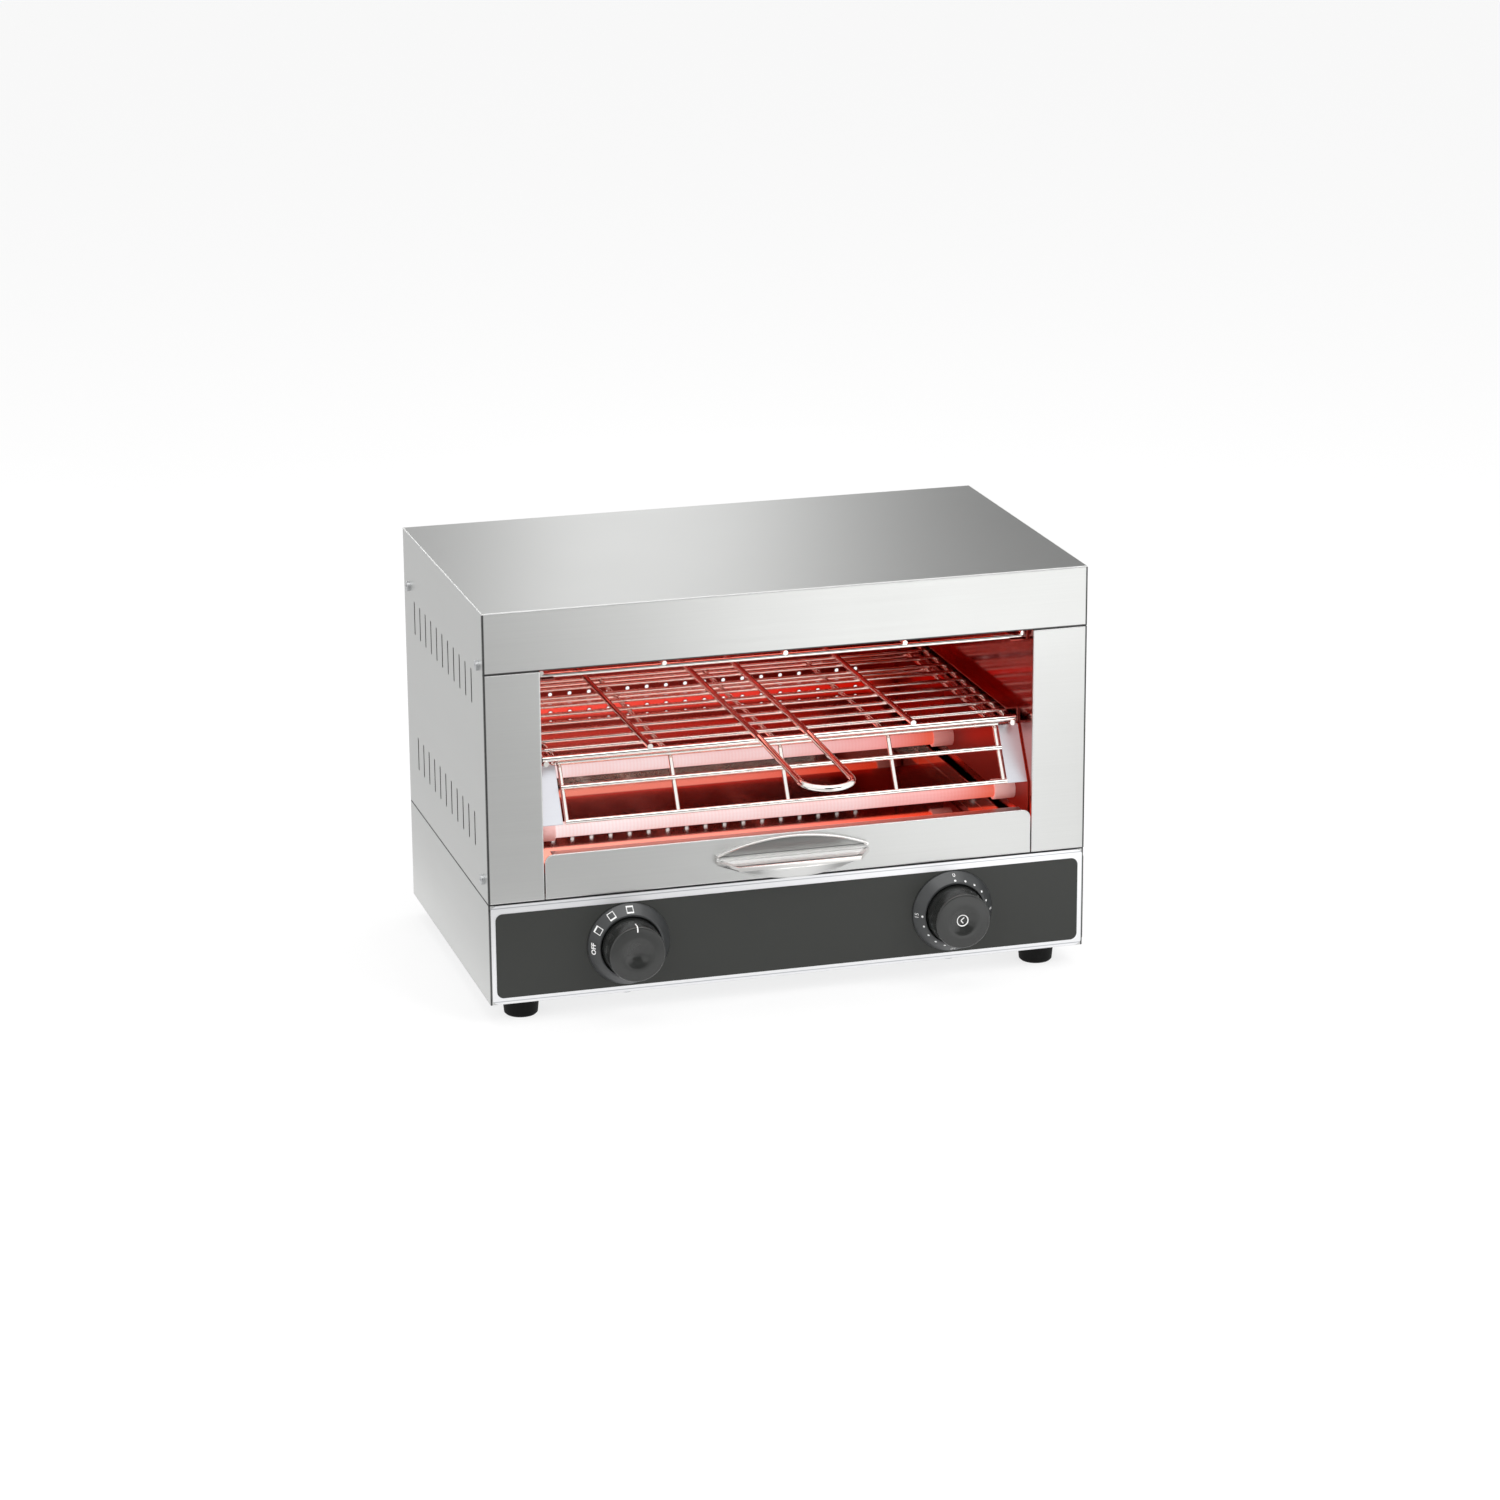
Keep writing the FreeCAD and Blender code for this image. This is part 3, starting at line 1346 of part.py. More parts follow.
def handle_screws():
    # Heads behind the tray front, shanks into the handle
    item = piece("handle_screws")
    centres = pull_screw_places()
    heads = sketch(item, "heads", "front", "pan_front")
    circles(heads, centres, "screw_head_diameter / 2")
    pad(item, "head_pad", heads, "screw_head_height", "rear")
    shanks = sketch(item, "shanks", "front", "pan_front")
    circles(shanks, centres, "screw_diameter / 2")
    pad(item, "shank_pad", shanks, "tray_sheet + pull_thread", "front")


# Supply entry and wiring

def cable_gland():
    item = piece("cable_gland", "-(gland_place)", "rear", "gland_height")
    section = sketch(item, "section", "side")
    bore = "gland_bore / 2"
    corners = [
        ("-gland_inner", bore),
        ("-gland_inner", "gland_diameter / 2"),
        ("0", "gland_diameter / 2"),
        ("0", "gland_flange / 2"),
        ("gland_collar", "gland_flange / 2"),
        ("gland_reach", "gland_diameter / 2"),
        ("gland_reach", bore),
    ]
    polygon(section, corners)
    revolve(item, "turned", section, "Y_Axis")


def gland_nut():
    item = piece("gland_nut", "-(gland_place)", "housing_inner_rear", "gland_height")
    face = sketch(item, "face", "front")
    hexagon(face, ("0", "0"), "gland_nut")
    circle(face, ("0", "0"), "gland_diameter / 2 + nut_slack")
    pad(item, "nut", face, "gland_nut_height", "front")


def terminal_block():
    item = piece("terminal_block", "block_place", "rear - block_rear", "base_sheet")
    face = sketch(item, "face", "plan")
    low = ("-block_length / 2", "-block_width / 2")
    rectangle(face, low, ("block_length / 2", "block_width / 2"))
    pad(item, "block", face, "block_height", "up")
    way = sketch(item, "way", "front", "-block_width / 2")
    circle(way, ("-(way_spread)", "gland_height - base_sheet"), "block_way / 2")
    cut = pocket(item, "way_cut", way, "rear")
    pattern(item, "ways", cut, "X_Axis", "(way_pitch)", "block_ways")


def lead(label, plane, at, corners, face, face_at):
    # One insulated lead along a flat route; its round section lies square to the first run
    item = piece(label)
    path = sketch(item, "path", plane, at)
    edge_count = route(path, corners, "lead_bend")
    profile = sketch(item, "profile", face, face_at)
    if plane == "plan":
        centre = (corners[0][0], at)
    else:
        centre = (at, corners[0][1])
    circle(profile, centre, "lead_diameter / 2")
    pipe(item, "wire", profile, path, edge_count)


def base_leads():
    # Leads that lie level in the base, from the controls to the block
    first_way = "block_place - way_spread"
    last_way = "block_place + way_spread"
    switch_rear = "housing_inner_front + switch_depth"
    slant = "lead_bend * 2"
    selector = [
        ("-dial_spacing / 2", switch_rear),
        ("-dial_spacing / 2", f"{switch_rear} + {slant}"),
        (first_way, f"block_front - {slant}"),
        (first_way, "block_front"),
    ]
    lead("selector_lead", "plan", "gland_height", selector, "front", switch_rear)
    timer_rear = "housing_inner_front + timer_depth"
    timer = [
        ("dial_spacing / 2", timer_rear),
        ("dial_spacing / 2", "0"),
        (last_way, "0"),
        (last_way, "block_front"),
    ]
    lead("timer_lead", "plan", "gland_height", timer, "front", timer_rear)


def risers():
    # Leads from the controls, up through the base rim and between wall and cover
    for label, sign, width in (
        ("left_riser", "-", "switch_width"),
        ("right_riser", "", "timer_width"),
    ):
        start = f"{sign}(dial_spacing / 2 + {width} / 2)"
        corners = [
            (start, "riser_height"),
            (f"{sign}(riser_side)", "riser_height"),
            (f"{sign}(riser_side)", "riser_top"),
        ]
        lead(label, "front", "riser_place", corners, "side", start)


outer_cover()
base_housing()
base_plate()
control_fascia()
control_overlay()
feet()
foot_screws()
base_screws()
cover_screws()
rear_screws()
cavity_wall("left_cavity_wall", "-")
cavity_wall("right_cavity_wall", "")
rear_panel()
cavity_ceiling()
cavity_deck()
for dial_name, dial_sign in (("selector", "-"), ("timer", "")):
    bezel(f"{dial_name}_bezel", dial_sign)
    knob(f"{dial_name}_knob", dial_sign, dial_name == "selector")
switch("selector_switch", "-", "switch_width", "switch_clearance", "switch_depth")
switch("timer_unit", "", "timer_width", "timer_clearance", "timer_depth")
shaft("selector_shaft", "-")
shaft("timer_shaft", "")
shaft_nuts()
for level in ("lower", "upper"):
    quartz_tube(f"{level}_front_tube", "tube_front_place", f"{level}_tube_height")
    quartz_tube(f"{level}_rear_tube", "tube_rear_place", f"{level}_tube_height")
    tube_caps(f"{level}_tube_caps", f"{level}_tube_height")
heating_elements()
for side_name, side_sign in (("left", "-"), ("right", "")):
    lower_bracket(f"{side_name}_lower_bracket", side_sign)
    upper_bracket(f"{side_name}_upper_bracket", side_sign)
    rack_rail(f"{side_name}_rack_rail", side_sign)
lower_guard()
lower_guard_rods()
upper_guard()
upper_guard_rods()
rack()
rack_side_rods()
rack_handle()
crumb_tray()
tray_front()
tray_handle()
handle_screws()
cable_gland()
gland_nut()
terminal_block()
base_leads()
risers()
document.recompute()

# Every feature must be computed, and each cut must take something away
for item in document.Objects:
    if {"Invalid", "Error"} & set(item.State):
        raise RuntimeError(f"{item.Name} failed: {item.State}")
    if item.TypeId == "PartDesign::Pocket":
        if item.Shape.Volume >= item.BaseFeature.Shape.Volume - 0.001:
            raise RuntimeError(f"{item.Name} cuts nothing")
for label, item in pieces.items():
    if item.Shape.isNull() or not item.Shape.isValid() or not item.Shape.Solids:
        raise RuntimeError(f"{label} has no valid solid")

os.makedirs("parts", exist_ok=True)
for label, item in pieces.items():
    item.Shape.exportStep(f"parts/{label}.step")
print(len(pieces), "pieces written")
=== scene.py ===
import json
from math import cos, pi, radians, sin

import bpy
from mathutils import Matrix, Vector


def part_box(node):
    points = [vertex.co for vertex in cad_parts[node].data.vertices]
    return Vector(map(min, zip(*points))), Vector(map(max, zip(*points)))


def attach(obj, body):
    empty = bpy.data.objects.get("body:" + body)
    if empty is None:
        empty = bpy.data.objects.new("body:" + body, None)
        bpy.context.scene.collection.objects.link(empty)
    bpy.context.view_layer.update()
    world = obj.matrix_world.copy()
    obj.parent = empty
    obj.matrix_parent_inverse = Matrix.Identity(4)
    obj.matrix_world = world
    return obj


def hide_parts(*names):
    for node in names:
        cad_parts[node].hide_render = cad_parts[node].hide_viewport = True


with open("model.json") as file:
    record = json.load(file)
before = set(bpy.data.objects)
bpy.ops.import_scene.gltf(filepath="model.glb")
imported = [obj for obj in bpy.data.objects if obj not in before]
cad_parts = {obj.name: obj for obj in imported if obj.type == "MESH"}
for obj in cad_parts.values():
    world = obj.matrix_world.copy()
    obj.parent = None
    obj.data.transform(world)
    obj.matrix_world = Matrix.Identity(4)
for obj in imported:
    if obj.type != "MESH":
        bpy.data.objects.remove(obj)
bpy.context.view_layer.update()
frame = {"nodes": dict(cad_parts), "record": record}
nodes = frame["nodes"]
coverLow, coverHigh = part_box("outer_cover")
frontPlane = coverLow.y       # the cabinet's front face
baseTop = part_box("base_housing")[1].z
mm = 0.001
print("frame loaded:", len(nodes), "nodes")


# Small helpers for node trees

def addNode(tree, kind, inputs=None, **props):
    node = tree.nodes.new(kind)
    for key, value in props.items():
        setattr(node, key, value)
    for key, value in (inputs or {}).items():
        if isinstance(value, bpy.types.NodeSocket):
            tree.links.new(value, node.inputs[key])
        else:
            node.inputs[key].default_value = value
    return node


def calc(tree, operation, first, second=0.0, clamp=False):
    node = addNode(tree, "ShaderNodeMath", {0: first, 1: second}, operation=operation)
    node.use_clamp = clamp
    return node.outputs[0]


def mixColour(tree, share, first, second, blend="MIX"):
    node = addNode(tree, "ShaderNodeMix", {0: share, 6: first, 7: second}, data_type="RGBA")
    node.blend_type = blend
    return node.outputs[2]


def spread(tree, value, low, high, newLow, newHigh):
    keys = {0: value, 1: low, 2: high, 3: newLow, 4: newHigh}
    return addNode(tree, "ShaderNodeMapRange", keys).outputs[0]


def ramp(tree, value, stops):
    # colours or plain tones at given places, with even blends between them
    first, last = stops[0][0], stops[-1][0]
    share = spread(tree, value, first, last, 0.0, 1.0)
    node = addNode(tree, "ShaderNodeValToRGB", {0: share})
    elements = node.color_ramp.elements
    for index, (place, colour) in enumerate(stops):
        spot = (place - first) / (last - first)
        element = elements[index] if index < 2 else elements.new(spot)
        element.position = spot
        element.color = (*colour, 1) if isinstance(colour, tuple) else (colour, colour, colour, 1)
    return node.outputs[0]


def halved(stops):
    # ramp colours stop at 1, so strong ones go in at half and are doubled behind the ramp
    return [(place, tuple(part / 2 for part in colour)) for place, colour in stops]


def startGroup(name, inputs, outputs):
    group = bpy.data.node_groups.new(name, "ShaderNodeTree")
    for label, kind, value in inputs:
        socket = group.interface.new_socket(name=label, in_out="INPUT", socket_type=kind)
        if value is not None:
            socket.default_value = value
    for label, kind in outputs:
        group.interface.new_socket(name=label, in_out="OUTPUT", socket_type=kind)
    start = group.nodes.new("NodeGroupInput")
    end = group.nodes.new("NodeGroupOutput")
    return group, start.outputs, end


number, vector = "NodeSocketFloat", "NodeSocketVector"


def makeBrushedGrain():
    # fine parallel scratches: along X on the front and top, along Y on the sides
    group, given, end = startGroup(
        "BrushedGrain",
        [("Place", vector, None), ("Facing", vector, None), ("Length", number, 7.0), ("Fineness", number, 900.0)],
        [("Scratch", number), ("Streak", number)],
    )
    side = addNode(group, "ShaderNodeSeparateXYZ", {0: given["Facing"]}).outputs[0]
    side = calc(group, "GREATER_THAN", calc(group, "ABSOLUTE", side), 0.7)
    layers = []
    for swap in (False, True):
        fine, long = given["Fineness"], given["Length"]
        keys = {0: fine, 1: long, 2: fine} if swap else {0: long, 1: fine, 2: fine}
        scale = addNode(group, "ShaderNodeCombineXYZ", keys).outputs[0]
        place = addNode(group, "ShaderNodeVectorMath", {0: given["Place"], 1: scale}, operation="MULTIPLY")
        keys = {"Vector": place.outputs[0], "Scale": 1.0, "Detail": 3.0, "Roughness": 0.65}
        layers.append(addNode(group, "ShaderNodeTexNoise", keys).outputs[0])
    scratch = addNode(group, "ShaderNodeMix", {0: side, 2: layers[0], 3: layers[1]}).outputs[0]
    soft = addNode(group, "ShaderNodeVectorMath", {0: given["Place"], 1: (2.0, 2.0, 34.0)}, operation="MULTIPLY")
    streak = addNode(group, "ShaderNodeTexNoise", {"Vector": soft.outputs[0], "Scale": 1.0, "Detail": 1.0})
    group.links.new(scratch, end.inputs["Scratch"])
    group.links.new(streak.outputs[0], end.inputs["Streak"])
    return group


def makeHandMarks():
    # broad cloudy wipe marks that change the gloss a little
    group, given, end = startGroup(
        "HandMarks",
        [("Place", vector, None), ("Size", number, 9.0), ("Amount", number, 0.05)],
        [("Haze", number)],
    )
    keys = {"Vector": given["Place"], "Scale": given["Size"], "Detail": 4.0, "Roughness": 0.6}
    cloud = addNode(group, "ShaderNodeTexNoise", keys).outputs[0]
    centred = calc(group, "SUBTRACT", cloud, 0.5)
    group.links.new(calc(group, "MULTIPLY", centred, given["Amount"]), end.inputs["Haze"])
    return group


def makeEdgeWear():
    # 1 along rounded-off edges, fading to 0 on the flats; it places painted edge highlights and painted edge shade
    group, given, end = startGroup(
        "EdgeMask",
        [("Width", number, 0.0006), ("Place", vector, None)],
        [("Edge", number), ("Soft Normal", vector)],
    )
    bevel = addNode(group, "ShaderNodeBevel", {"Radius": given["Width"]}, samples=4)
    plain = addNode(group, "ShaderNodeNewGeometry").outputs["Normal"]
    dot = addNode(group, "ShaderNodeVectorMath", {0: bevel.outputs[0], 1: plain}, operation="DOT_PRODUCT")
    edge = spread(group, dot.outputs["Value"], 0.99, 0.86, 0.0, 1.0)
    breakup = addNode(group, "ShaderNodeTexNoise", {"Vector": given["Place"], "Scale": 60.0, "Detail": 2.0})
    patchy = spread(group, breakup.outputs[0], 0.3, 0.6, 0.75, 1.0)
    group.links.new(calc(group, "MULTIPLY", edge, patchy), end.inputs["Edge"])
    group.links.new(bevel.outputs[0], end.inputs["Soft Normal"])
    return group


brushedGrain, handMarks, edgeMask = makeBrushedGrain(), makeHandMarks(), makeEdgeWear()


def startMaterial(name, **constants):
    material = bpy.data.materials.new(name)
    material.use_nodes = True
    tree = material.node_tree
    shader = tree.nodes["Principled BSDF"]
    for key, value in constants.items():
        shader.inputs[key.replace("_", " ")].default_value = value
    place = addNode(tree, "ShaderNodeTexCoord").outputs
    return material, tree, shader, place


def useGroup(tree, group, **inputs):
    node = tree.nodes.new("ShaderNodeGroup")
    node.node_tree = group
    for key, value in inputs.items():
        key = key.replace("_", " ")
        if isinstance(value, bpy.types.NodeSocket):
            tree.links.new(value, node.inputs[key])
        else:
            node.inputs[key].default_value = value
    return node.outputs


# Materials

steelFinishes = {
    # colour, then roughness, grain in it, bump height, tone change, share of painted highlight on the edges and their
    # width
    "brushedSteel": ((0.605, 0.61, 0.60), 0.33, 0.10, 0.05, 0.05, 0.9, 1.5 * mm),
    "panSteel": ((0.63, 0.57, 0.54), 0.05, 0.02, 0.02, 0.05, 0.2, 0.5 * mm),
    "stripSteel": ((0.73, 0.745, 0.79), 0.42, 0.05, 0.03, 0.04, 0.2, 0.5 * mm),
    "satinBorder": ((0.90, 0.905, 0.92), 0.36, 0.08, 0.04, 0.04, 0.2, 0.5 * mm),
    "zincSteel": ((0.58, 0.59, 0.60), 0.30, 0.12, 0.10, 0.15, 0.4, 0.4 * mm),
    "brass": ((0.70, 0.50, 0.22), 0.28, 0.10, 0.06, 0.10, 0.2, 0.4 * mm),
}
# painted red glow from the tubes on the cavity's sheet, with painted shade darker to the right
glowShadeTint = {
    "tones": [
        (-0.18, (0.52, 0.12, 0.10)), (0.0, (0.44, 0.07, 0.055)),
        (0.10, (0.39, 0.04, 0.025)), (0.18, (0.44, 0.05, 0.03)),
    ],
    "rough": 0.10, "side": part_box("right_cavity_wall")[0].x + 0.3 * mm, "rear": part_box("rear_panel")[0].y + 0.5 * mm,
}


def makeHeatTint():
    # 1 on the faces that look into the cavity, where painted red glow and painted shade colour the sheet
    group, given, end = startGroup("GlowShadeTint", [("Place", vector, None)], [("Tint", number)])
    x, y, z = addNode(group, "ShaderNodeSeparateXYZ", {0: given["Place"]}).outputs
    inSide = calc(group, "LESS_THAN", calc(group, "ABSOLUTE", x), glowShadeTint["side"])
    inRear = calc(group, "LESS_THAN", y, glowShadeTint["rear"])
    inFront = calc(group, "GREATER_THAN", y, frontPlane + 1.5 * mm)
    inside = calc(group, "MULTIPLY", calc(group, "MULTIPLY", inSide, inRear), inFront)
    keys = {"Vector": given["Place"], "Scale": 14.0, "Detail": 3.0}
    cloud = addNode(group, "ShaderNodeTexNoise", keys).outputs[0]
    uneven = spread(group, cloud, 0.3, 0.7, 0.86, 1.0)
    group.links.new(calc(group, "MULTIPLY", inside, uneven), end.inputs["Tint"])
    return group


glowShadeTintGroup = makeHeatTint()


# sizes of the painted shade lines in the slots, seams and folded corners
creaseShade = {
    "half": coverHigh.x, "soft": 0.2 * mm, "lip": 0.6 * mm, "headerRise": 43.5 * mm, "headerLip": 0.75 * mm,
    "cornerFrom": 1.0 * mm, "cornerTo": 1.4 * mm, "sideShare": 0.75,
}


def makeCreases():
    # painted shade: 1 in the slots, along the seams and down the folded front corners; the sides' cut edges on their
    # own
    group, given, end = startGroup("CreaseShade", [("Place", vector, None)], [("Dark", number), ("Side", number)])
    x, y, z = addNode(group, "ShaderNodeSeparateXYZ", {0: given["Place"]}).outputs
    inward = calc(group, "SUBTRACT", creaseShade["half"], calc(group, "ABSOLUTE", x))
    skin = calc(group, "LESS_THAN", calc(group, "ABSOLUTE", calc(group, "SUBTRACT", inward, 0.5 * mm)), 0.4 * mm)
    below = calc(group, "LESS_THAN", z, coverHigh.z - 2.0 * mm)
    behind = calc(group, "GREATER_THAN", y, frontPlane + 1.2 * mm)
    slots = calc(group, "MULTIPLY", calc(group, "MULTIPLY", skin, below), behind)
    seam = calc(group, "ABSOLUTE", calc(group, "SUBTRACT", z, baseTop))
    seam = spread(group, seam, creaseShade["lip"], creaseShade["lip"] + creaseShade["soft"], 0.92, 0.0)
    back = calc(group, "SUBTRACT", y, frontPlane)
    under = calc(group, "ABSOLUTE", calc(group, "SUBTRACT", z, coverHigh.z - creaseShade["headerRise"]))
    under = spread(group, under, creaseShade["headerLip"], creaseShade["headerLip"] + creaseShade["soft"], 0.9, 0.0)
    under = calc(group, "MULTIPLY", under, calc(group, "LESS_THAN", back, 2.0 * mm))
    seam = calc(group, "MAXIMUM", seam, under)
    corner = calc(group, "MAXIMUM", inward, calc(group, "MULTIPLY", back, 0.6))
    corner = spread(group, corner, creaseShade["cornerFrom"], creaseShade["cornerTo"], 0.92, 0.0)
    lower = calc(group, "LESS_THAN", z, coverHigh.z - 0.8 * mm)
    corner = calc(group, "MULTIPLY", corner, lower)
    group.links.new(calc(group, "MAXIMUM", calc(group, "MAXIMUM", slots, seam), corner), end.inputs["Dark"])
    outside = calc(group, "LESS_THAN", inward, 0.3 * mm)
    outside = calc(group, "MULTIPLY", calc(group, "MULTIPLY", outside, below), behind)
    group.links.new(calc(group, "MULTIPLY", outside, creaseShade["sideShare"]), end.inputs["Side"])
    return group


creaseShadeGroup = makeCreases()


def makeSteel(name, base=None):
    # with a base, the sheet is that finish outside and carries painted red glow and painted shade towards the cavity
    metal, roughness, roughGrain, bumpSize, toneChange, edgeHighlightShare, edgeWidth = steelFinishes[base or name]
    material, tree, shader, place = startMaterial(name, Metallic=1.0)
    grain = useGroup(tree, brushedGrain, Place=place["Object"], Facing=place["Normal"])
    haze = useGroup(tree, handMarks, Place=place["Object"], Size=7.0, Amount=0.16)["Haze"]
    edgeBand = useGroup(tree, edgeMask, Place=place["Object"], Width=edgeWidth)
    scratch = calc(tree, "SUBTRACT", grain["Scratch"], 0.5)
    streak = calc(tree, "SUBTRACT", grain["Streak"], 0.5)
    tone = calc(tree, "ADD", streak, calc(tree, "MULTIPLY", scratch, 1.6))
    level = calc(tree, "ADD", calc(tree, "MULTIPLY", tone, toneChange), 0.5)
    red, green, blue = metal
    dim, pale = (red * 0.5, green * 0.5, blue * 0.5, 1), (red * 1.5, green * 1.5, blue * 1.5, 1)
    colour = mixColour(tree, level, dim, pale)
    # painted highlight: the edges are mixed toward white
    edgeHighlight = calc(tree, "MULTIPLY", edgeBand["Edge"], edgeHighlightShare)
    colour = mixColour(tree, edgeHighlight, colour, (1.0, 1.0, 1.0, 1))
    rough = calc(tree, "ADD", calc(tree, "MULTIPLY", haze, roughness), roughness)
    rough = calc(tree, "ADD", calc(tree, "MULTIPLY", scratch, roughGrain), rough)
    if name in ("brushedSteel", "cavitySteel", "borderedSteel"):
        # painted shade in the slots, seams and folded corners, and along the sides' cut edges, mixed toward near black
        paintedShade = useGroup(tree, creaseShadeGroup, Place=place["Object"])
        edgeShade = calc(tree, "MULTIPLY", edgeBand["Edge"], paintedShade["Side"])
        dark = calc(tree, "MAXIMUM", paintedShade["Dark"], edgeShade)
        colour = mixColour(tree, dark, colour, (0.04, 0.04, 0.04, 1))
    if name == "cavitySteel":
        # painted red glow of the tubes, with painted shade darker to the right
        tint = useGroup(tree, glowShadeTintGroup, Place=place["Object"])["Tint"]
        x = addNode(tree, "ShaderNodeSeparateXYZ", {0: place["Object"]}).outputs[0]
        colour = mixColour(tree, tint, colour, ramp(tree, x, glowShadeTint["tones"]))
        rough = addNode(tree, "ShaderNodeMix", {0: tint, 2: rough, 3: glowShadeTint["rough"]}).outputs[0]
    if name == "stripSteel":
        # the bracket's plate side gets the same painted red glow and painted shade
        x = addNode(tree, "ShaderNodeSeparateXYZ", {0: place["Object"]}).outputs[0]
        plate = calc(tree, "GREATER_THAN", calc(tree, "ABSOLUTE", x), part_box("right_lower_bracket")[1].x - 1.1 * mm)
        colour = mixColour(tree, plate, colour, ramp(tree, x, glowShadeTint["tones"]))
    if name == "borderedSteel":
        colour = mixColour(tree, makeBorderLines(tree, place["Object"]), colour, (0.42, 0.43, 0.46, 1))
    tree.links.new(colour, shader.inputs["Base Color"])
    tree.links.new(calc(tree, "MAXIMUM", rough, 0.03), shader.inputs["Roughness"])
    keys = {"Strength": bumpSize, "Distance": 0.0002, "Height": grain["Scratch"], "Normal": edgeBand["Soft Normal"]}
    bump = addNode(tree, "ShaderNodeBump", keys)
    tree.links.new(bump.outputs[0], shader.inputs["Normal"])
    return material


def makeBorderLines(tree, place):
    # fine lines along the bright border, over and under the black film
    low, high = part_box("control_fascia")
    z = addNode(tree, "ShaderNodeSeparateXYZ", {0: place}).outputs[2]
    lines = 0.0
    for height in (high.z - 2.3 * mm, low.z + 2.0 * mm):
        away = calc(tree, "ABSOLUTE", calc(tree, "SUBTRACT", z, height))
        lines = calc(tree, "ADD", spread(tree, away, 0.2 * mm, 0.45 * mm, 0.8, 0.0), lines)
    return lines


plasticFinishes = {
    # colour, then roughness, gloss, fineness of the spots, bump height and share of painted highlight on the edges
    "blackFilm": ((0.021, 0.0225, 0.020), 0.46, 0.45, 1400.0, 0.06, 0.0),
    "knobPlastic": ((0.020, 0.021, 0.020), 0.22, 0.6, 2200.0, 0.06, 0.05),
    "bezelPlastic": ((0.026, 0.028, 0.029), 0.30, 0.65, 2200.0, 0.10, 0.06),
    "footRubber": ((0.003, 0.003, 0.003), 0.70, 0.2, 900.0, 0.25, 0.04),
    "darkResin": ((0.05, 0.05, 0.055), 0.5, 0.5, 700.0, 0.15, 0.05),
    "ceramic": ((0.80, 0.62, 0.60), 0.5, 0.5, 1200.0, 0.20, 0.0),
    "leadSleeve": ((0.62, 0.58, 0.52), 0.8, 0.4, 1800.0, 0.5, 0.0),
    "printWhite": ((0.86, 0.86, 0.85), 0.5, 0.5, 3000.0, 0.05, 0.0),
}


def makePlastic(name):
    base, roughness, gloss, fineness, bumpSize, edgeHighlightShare = plasticFinishes[name]
    material, tree, shader, place = startMaterial(name, Specular_IOR_Level=gloss)
    keys = {"Vector": place["Object"], "Scale": fineness, "Detail": 2.0}
    spots = addNode(tree, "ShaderNodeTexNoise", keys).outputs[0]
    haze = useGroup(tree, handMarks, Place=place["Object"], Size=16.0, Amount=0.25)["Haze"]
    edgeBand = useGroup(tree, edgeMask, Place=place["Object"], Width=0.0005)
    red, green, blue = base
    dark, light = (red * 0.8, green * 0.8, blue * 0.8, 1), (red * 1.2, green * 1.2, blue * 1.2, 1)
    colour = mixColour(tree, calc(tree, "ADD", haze, 0.5), dark, light)
    # painted highlight: the edges are mixed toward pale grey
    edgeHighlight = calc(tree, "MULTIPLY", edgeBand["Edge"], edgeHighlightShare)
    colour = mixColour(tree, edgeHighlight, colour, (0.30, 0.30, 0.30, 1))
    rough = calc(tree, "ADD", calc(tree, "MULTIPLY", haze, 0.4), roughness)
    tree.links.new(colour, shader.inputs["Base Color"])
    tree.links.new(rough, shader.inputs["Roughness"])
    keys = {"Strength": bumpSize, "Distance": 0.0001, "Height": spots, "Normal": edgeBand["Soft Normal"]}
    tree.links.new(addNode(tree, "ShaderNodeBump", keys).outputs[0], shader.inputs["Normal"])
    return material


castZones = {
    # the tray pull's bowl, shelf and underside are polished less than its rims and lip; the bowl carries painted shade,
    # darker towards its top
    "wall": 2.6 * mm, "shelf": 13.8 * mm, "lip": 4.5 * mm, "rim": 1.5 * mm, "bowlShadeTones": [(0.0, (0.40, 0.405, 0.40)), (1.0, (0.12, 0.125, 0.12))],
    "bowlRough": 0.30, "plain": (0.86, 0.86, 0.85, 1), "underRough": 0.42, "floorRough": 0.65,
}


def makeCastZones():
    group, given, end = startGroup(
        "Cast Zones", [("Place", vector, None), ("Facing", vector, None)],
        [("Bowl", number), ("Height", number), ("Floor", number), ("Under", number)],
    )
    low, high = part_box("tray_handle")
    shelfTop = low.z + castZones["shelf"]
    y, z = addNode(group, "ShaderNodeSeparateXYZ", {0: given["Place"]}).outputs[1:3]
    facing = addNode(group, "ShaderNodeSeparateXYZ", {0: given["Facing"]}).outputs
    forward = calc(group, "LESS_THAN", facing[1], -0.7)
    deep = calc(group, "GREATER_THAN", y, high.y - castZones["wall"])
    above = calc(group, "GREATER_THAN", z, shelfTop - 0.3 * mm)
    bowl = calc(group, "MULTIPLY", calc(group, "MULTIPLY", forward, deep), above)
    group.links.new(bowl, end.inputs["Bowl"])
    group.links.new(spread(group, z, shelfTop, high.z, 0.0, 1.0), end.inputs["Height"])
    behindLip = calc(group, "GREATER_THAN", y, low.y + castZones["lip"])
    floor = calc(group, "MULTIPLY", calc(group, "GREATER_THAN", facing[2], 0.9), behindLip)
    low = calc(group, "LESS_THAN", z, shelfTop + castZones["rim"])
    strip = calc(group, "MULTIPLY", calc(group, "MULTIPLY", forward, low), behindLip)
    group.links.new(calc(group, "MAXIMUM", floor, strip), end.inputs["Floor"])
    group.links.new(calc(group, "LESS_THAN", facing[2], -0.25), end.inputs["Under"])
    return group


castZonesGroup = makeCastZones()


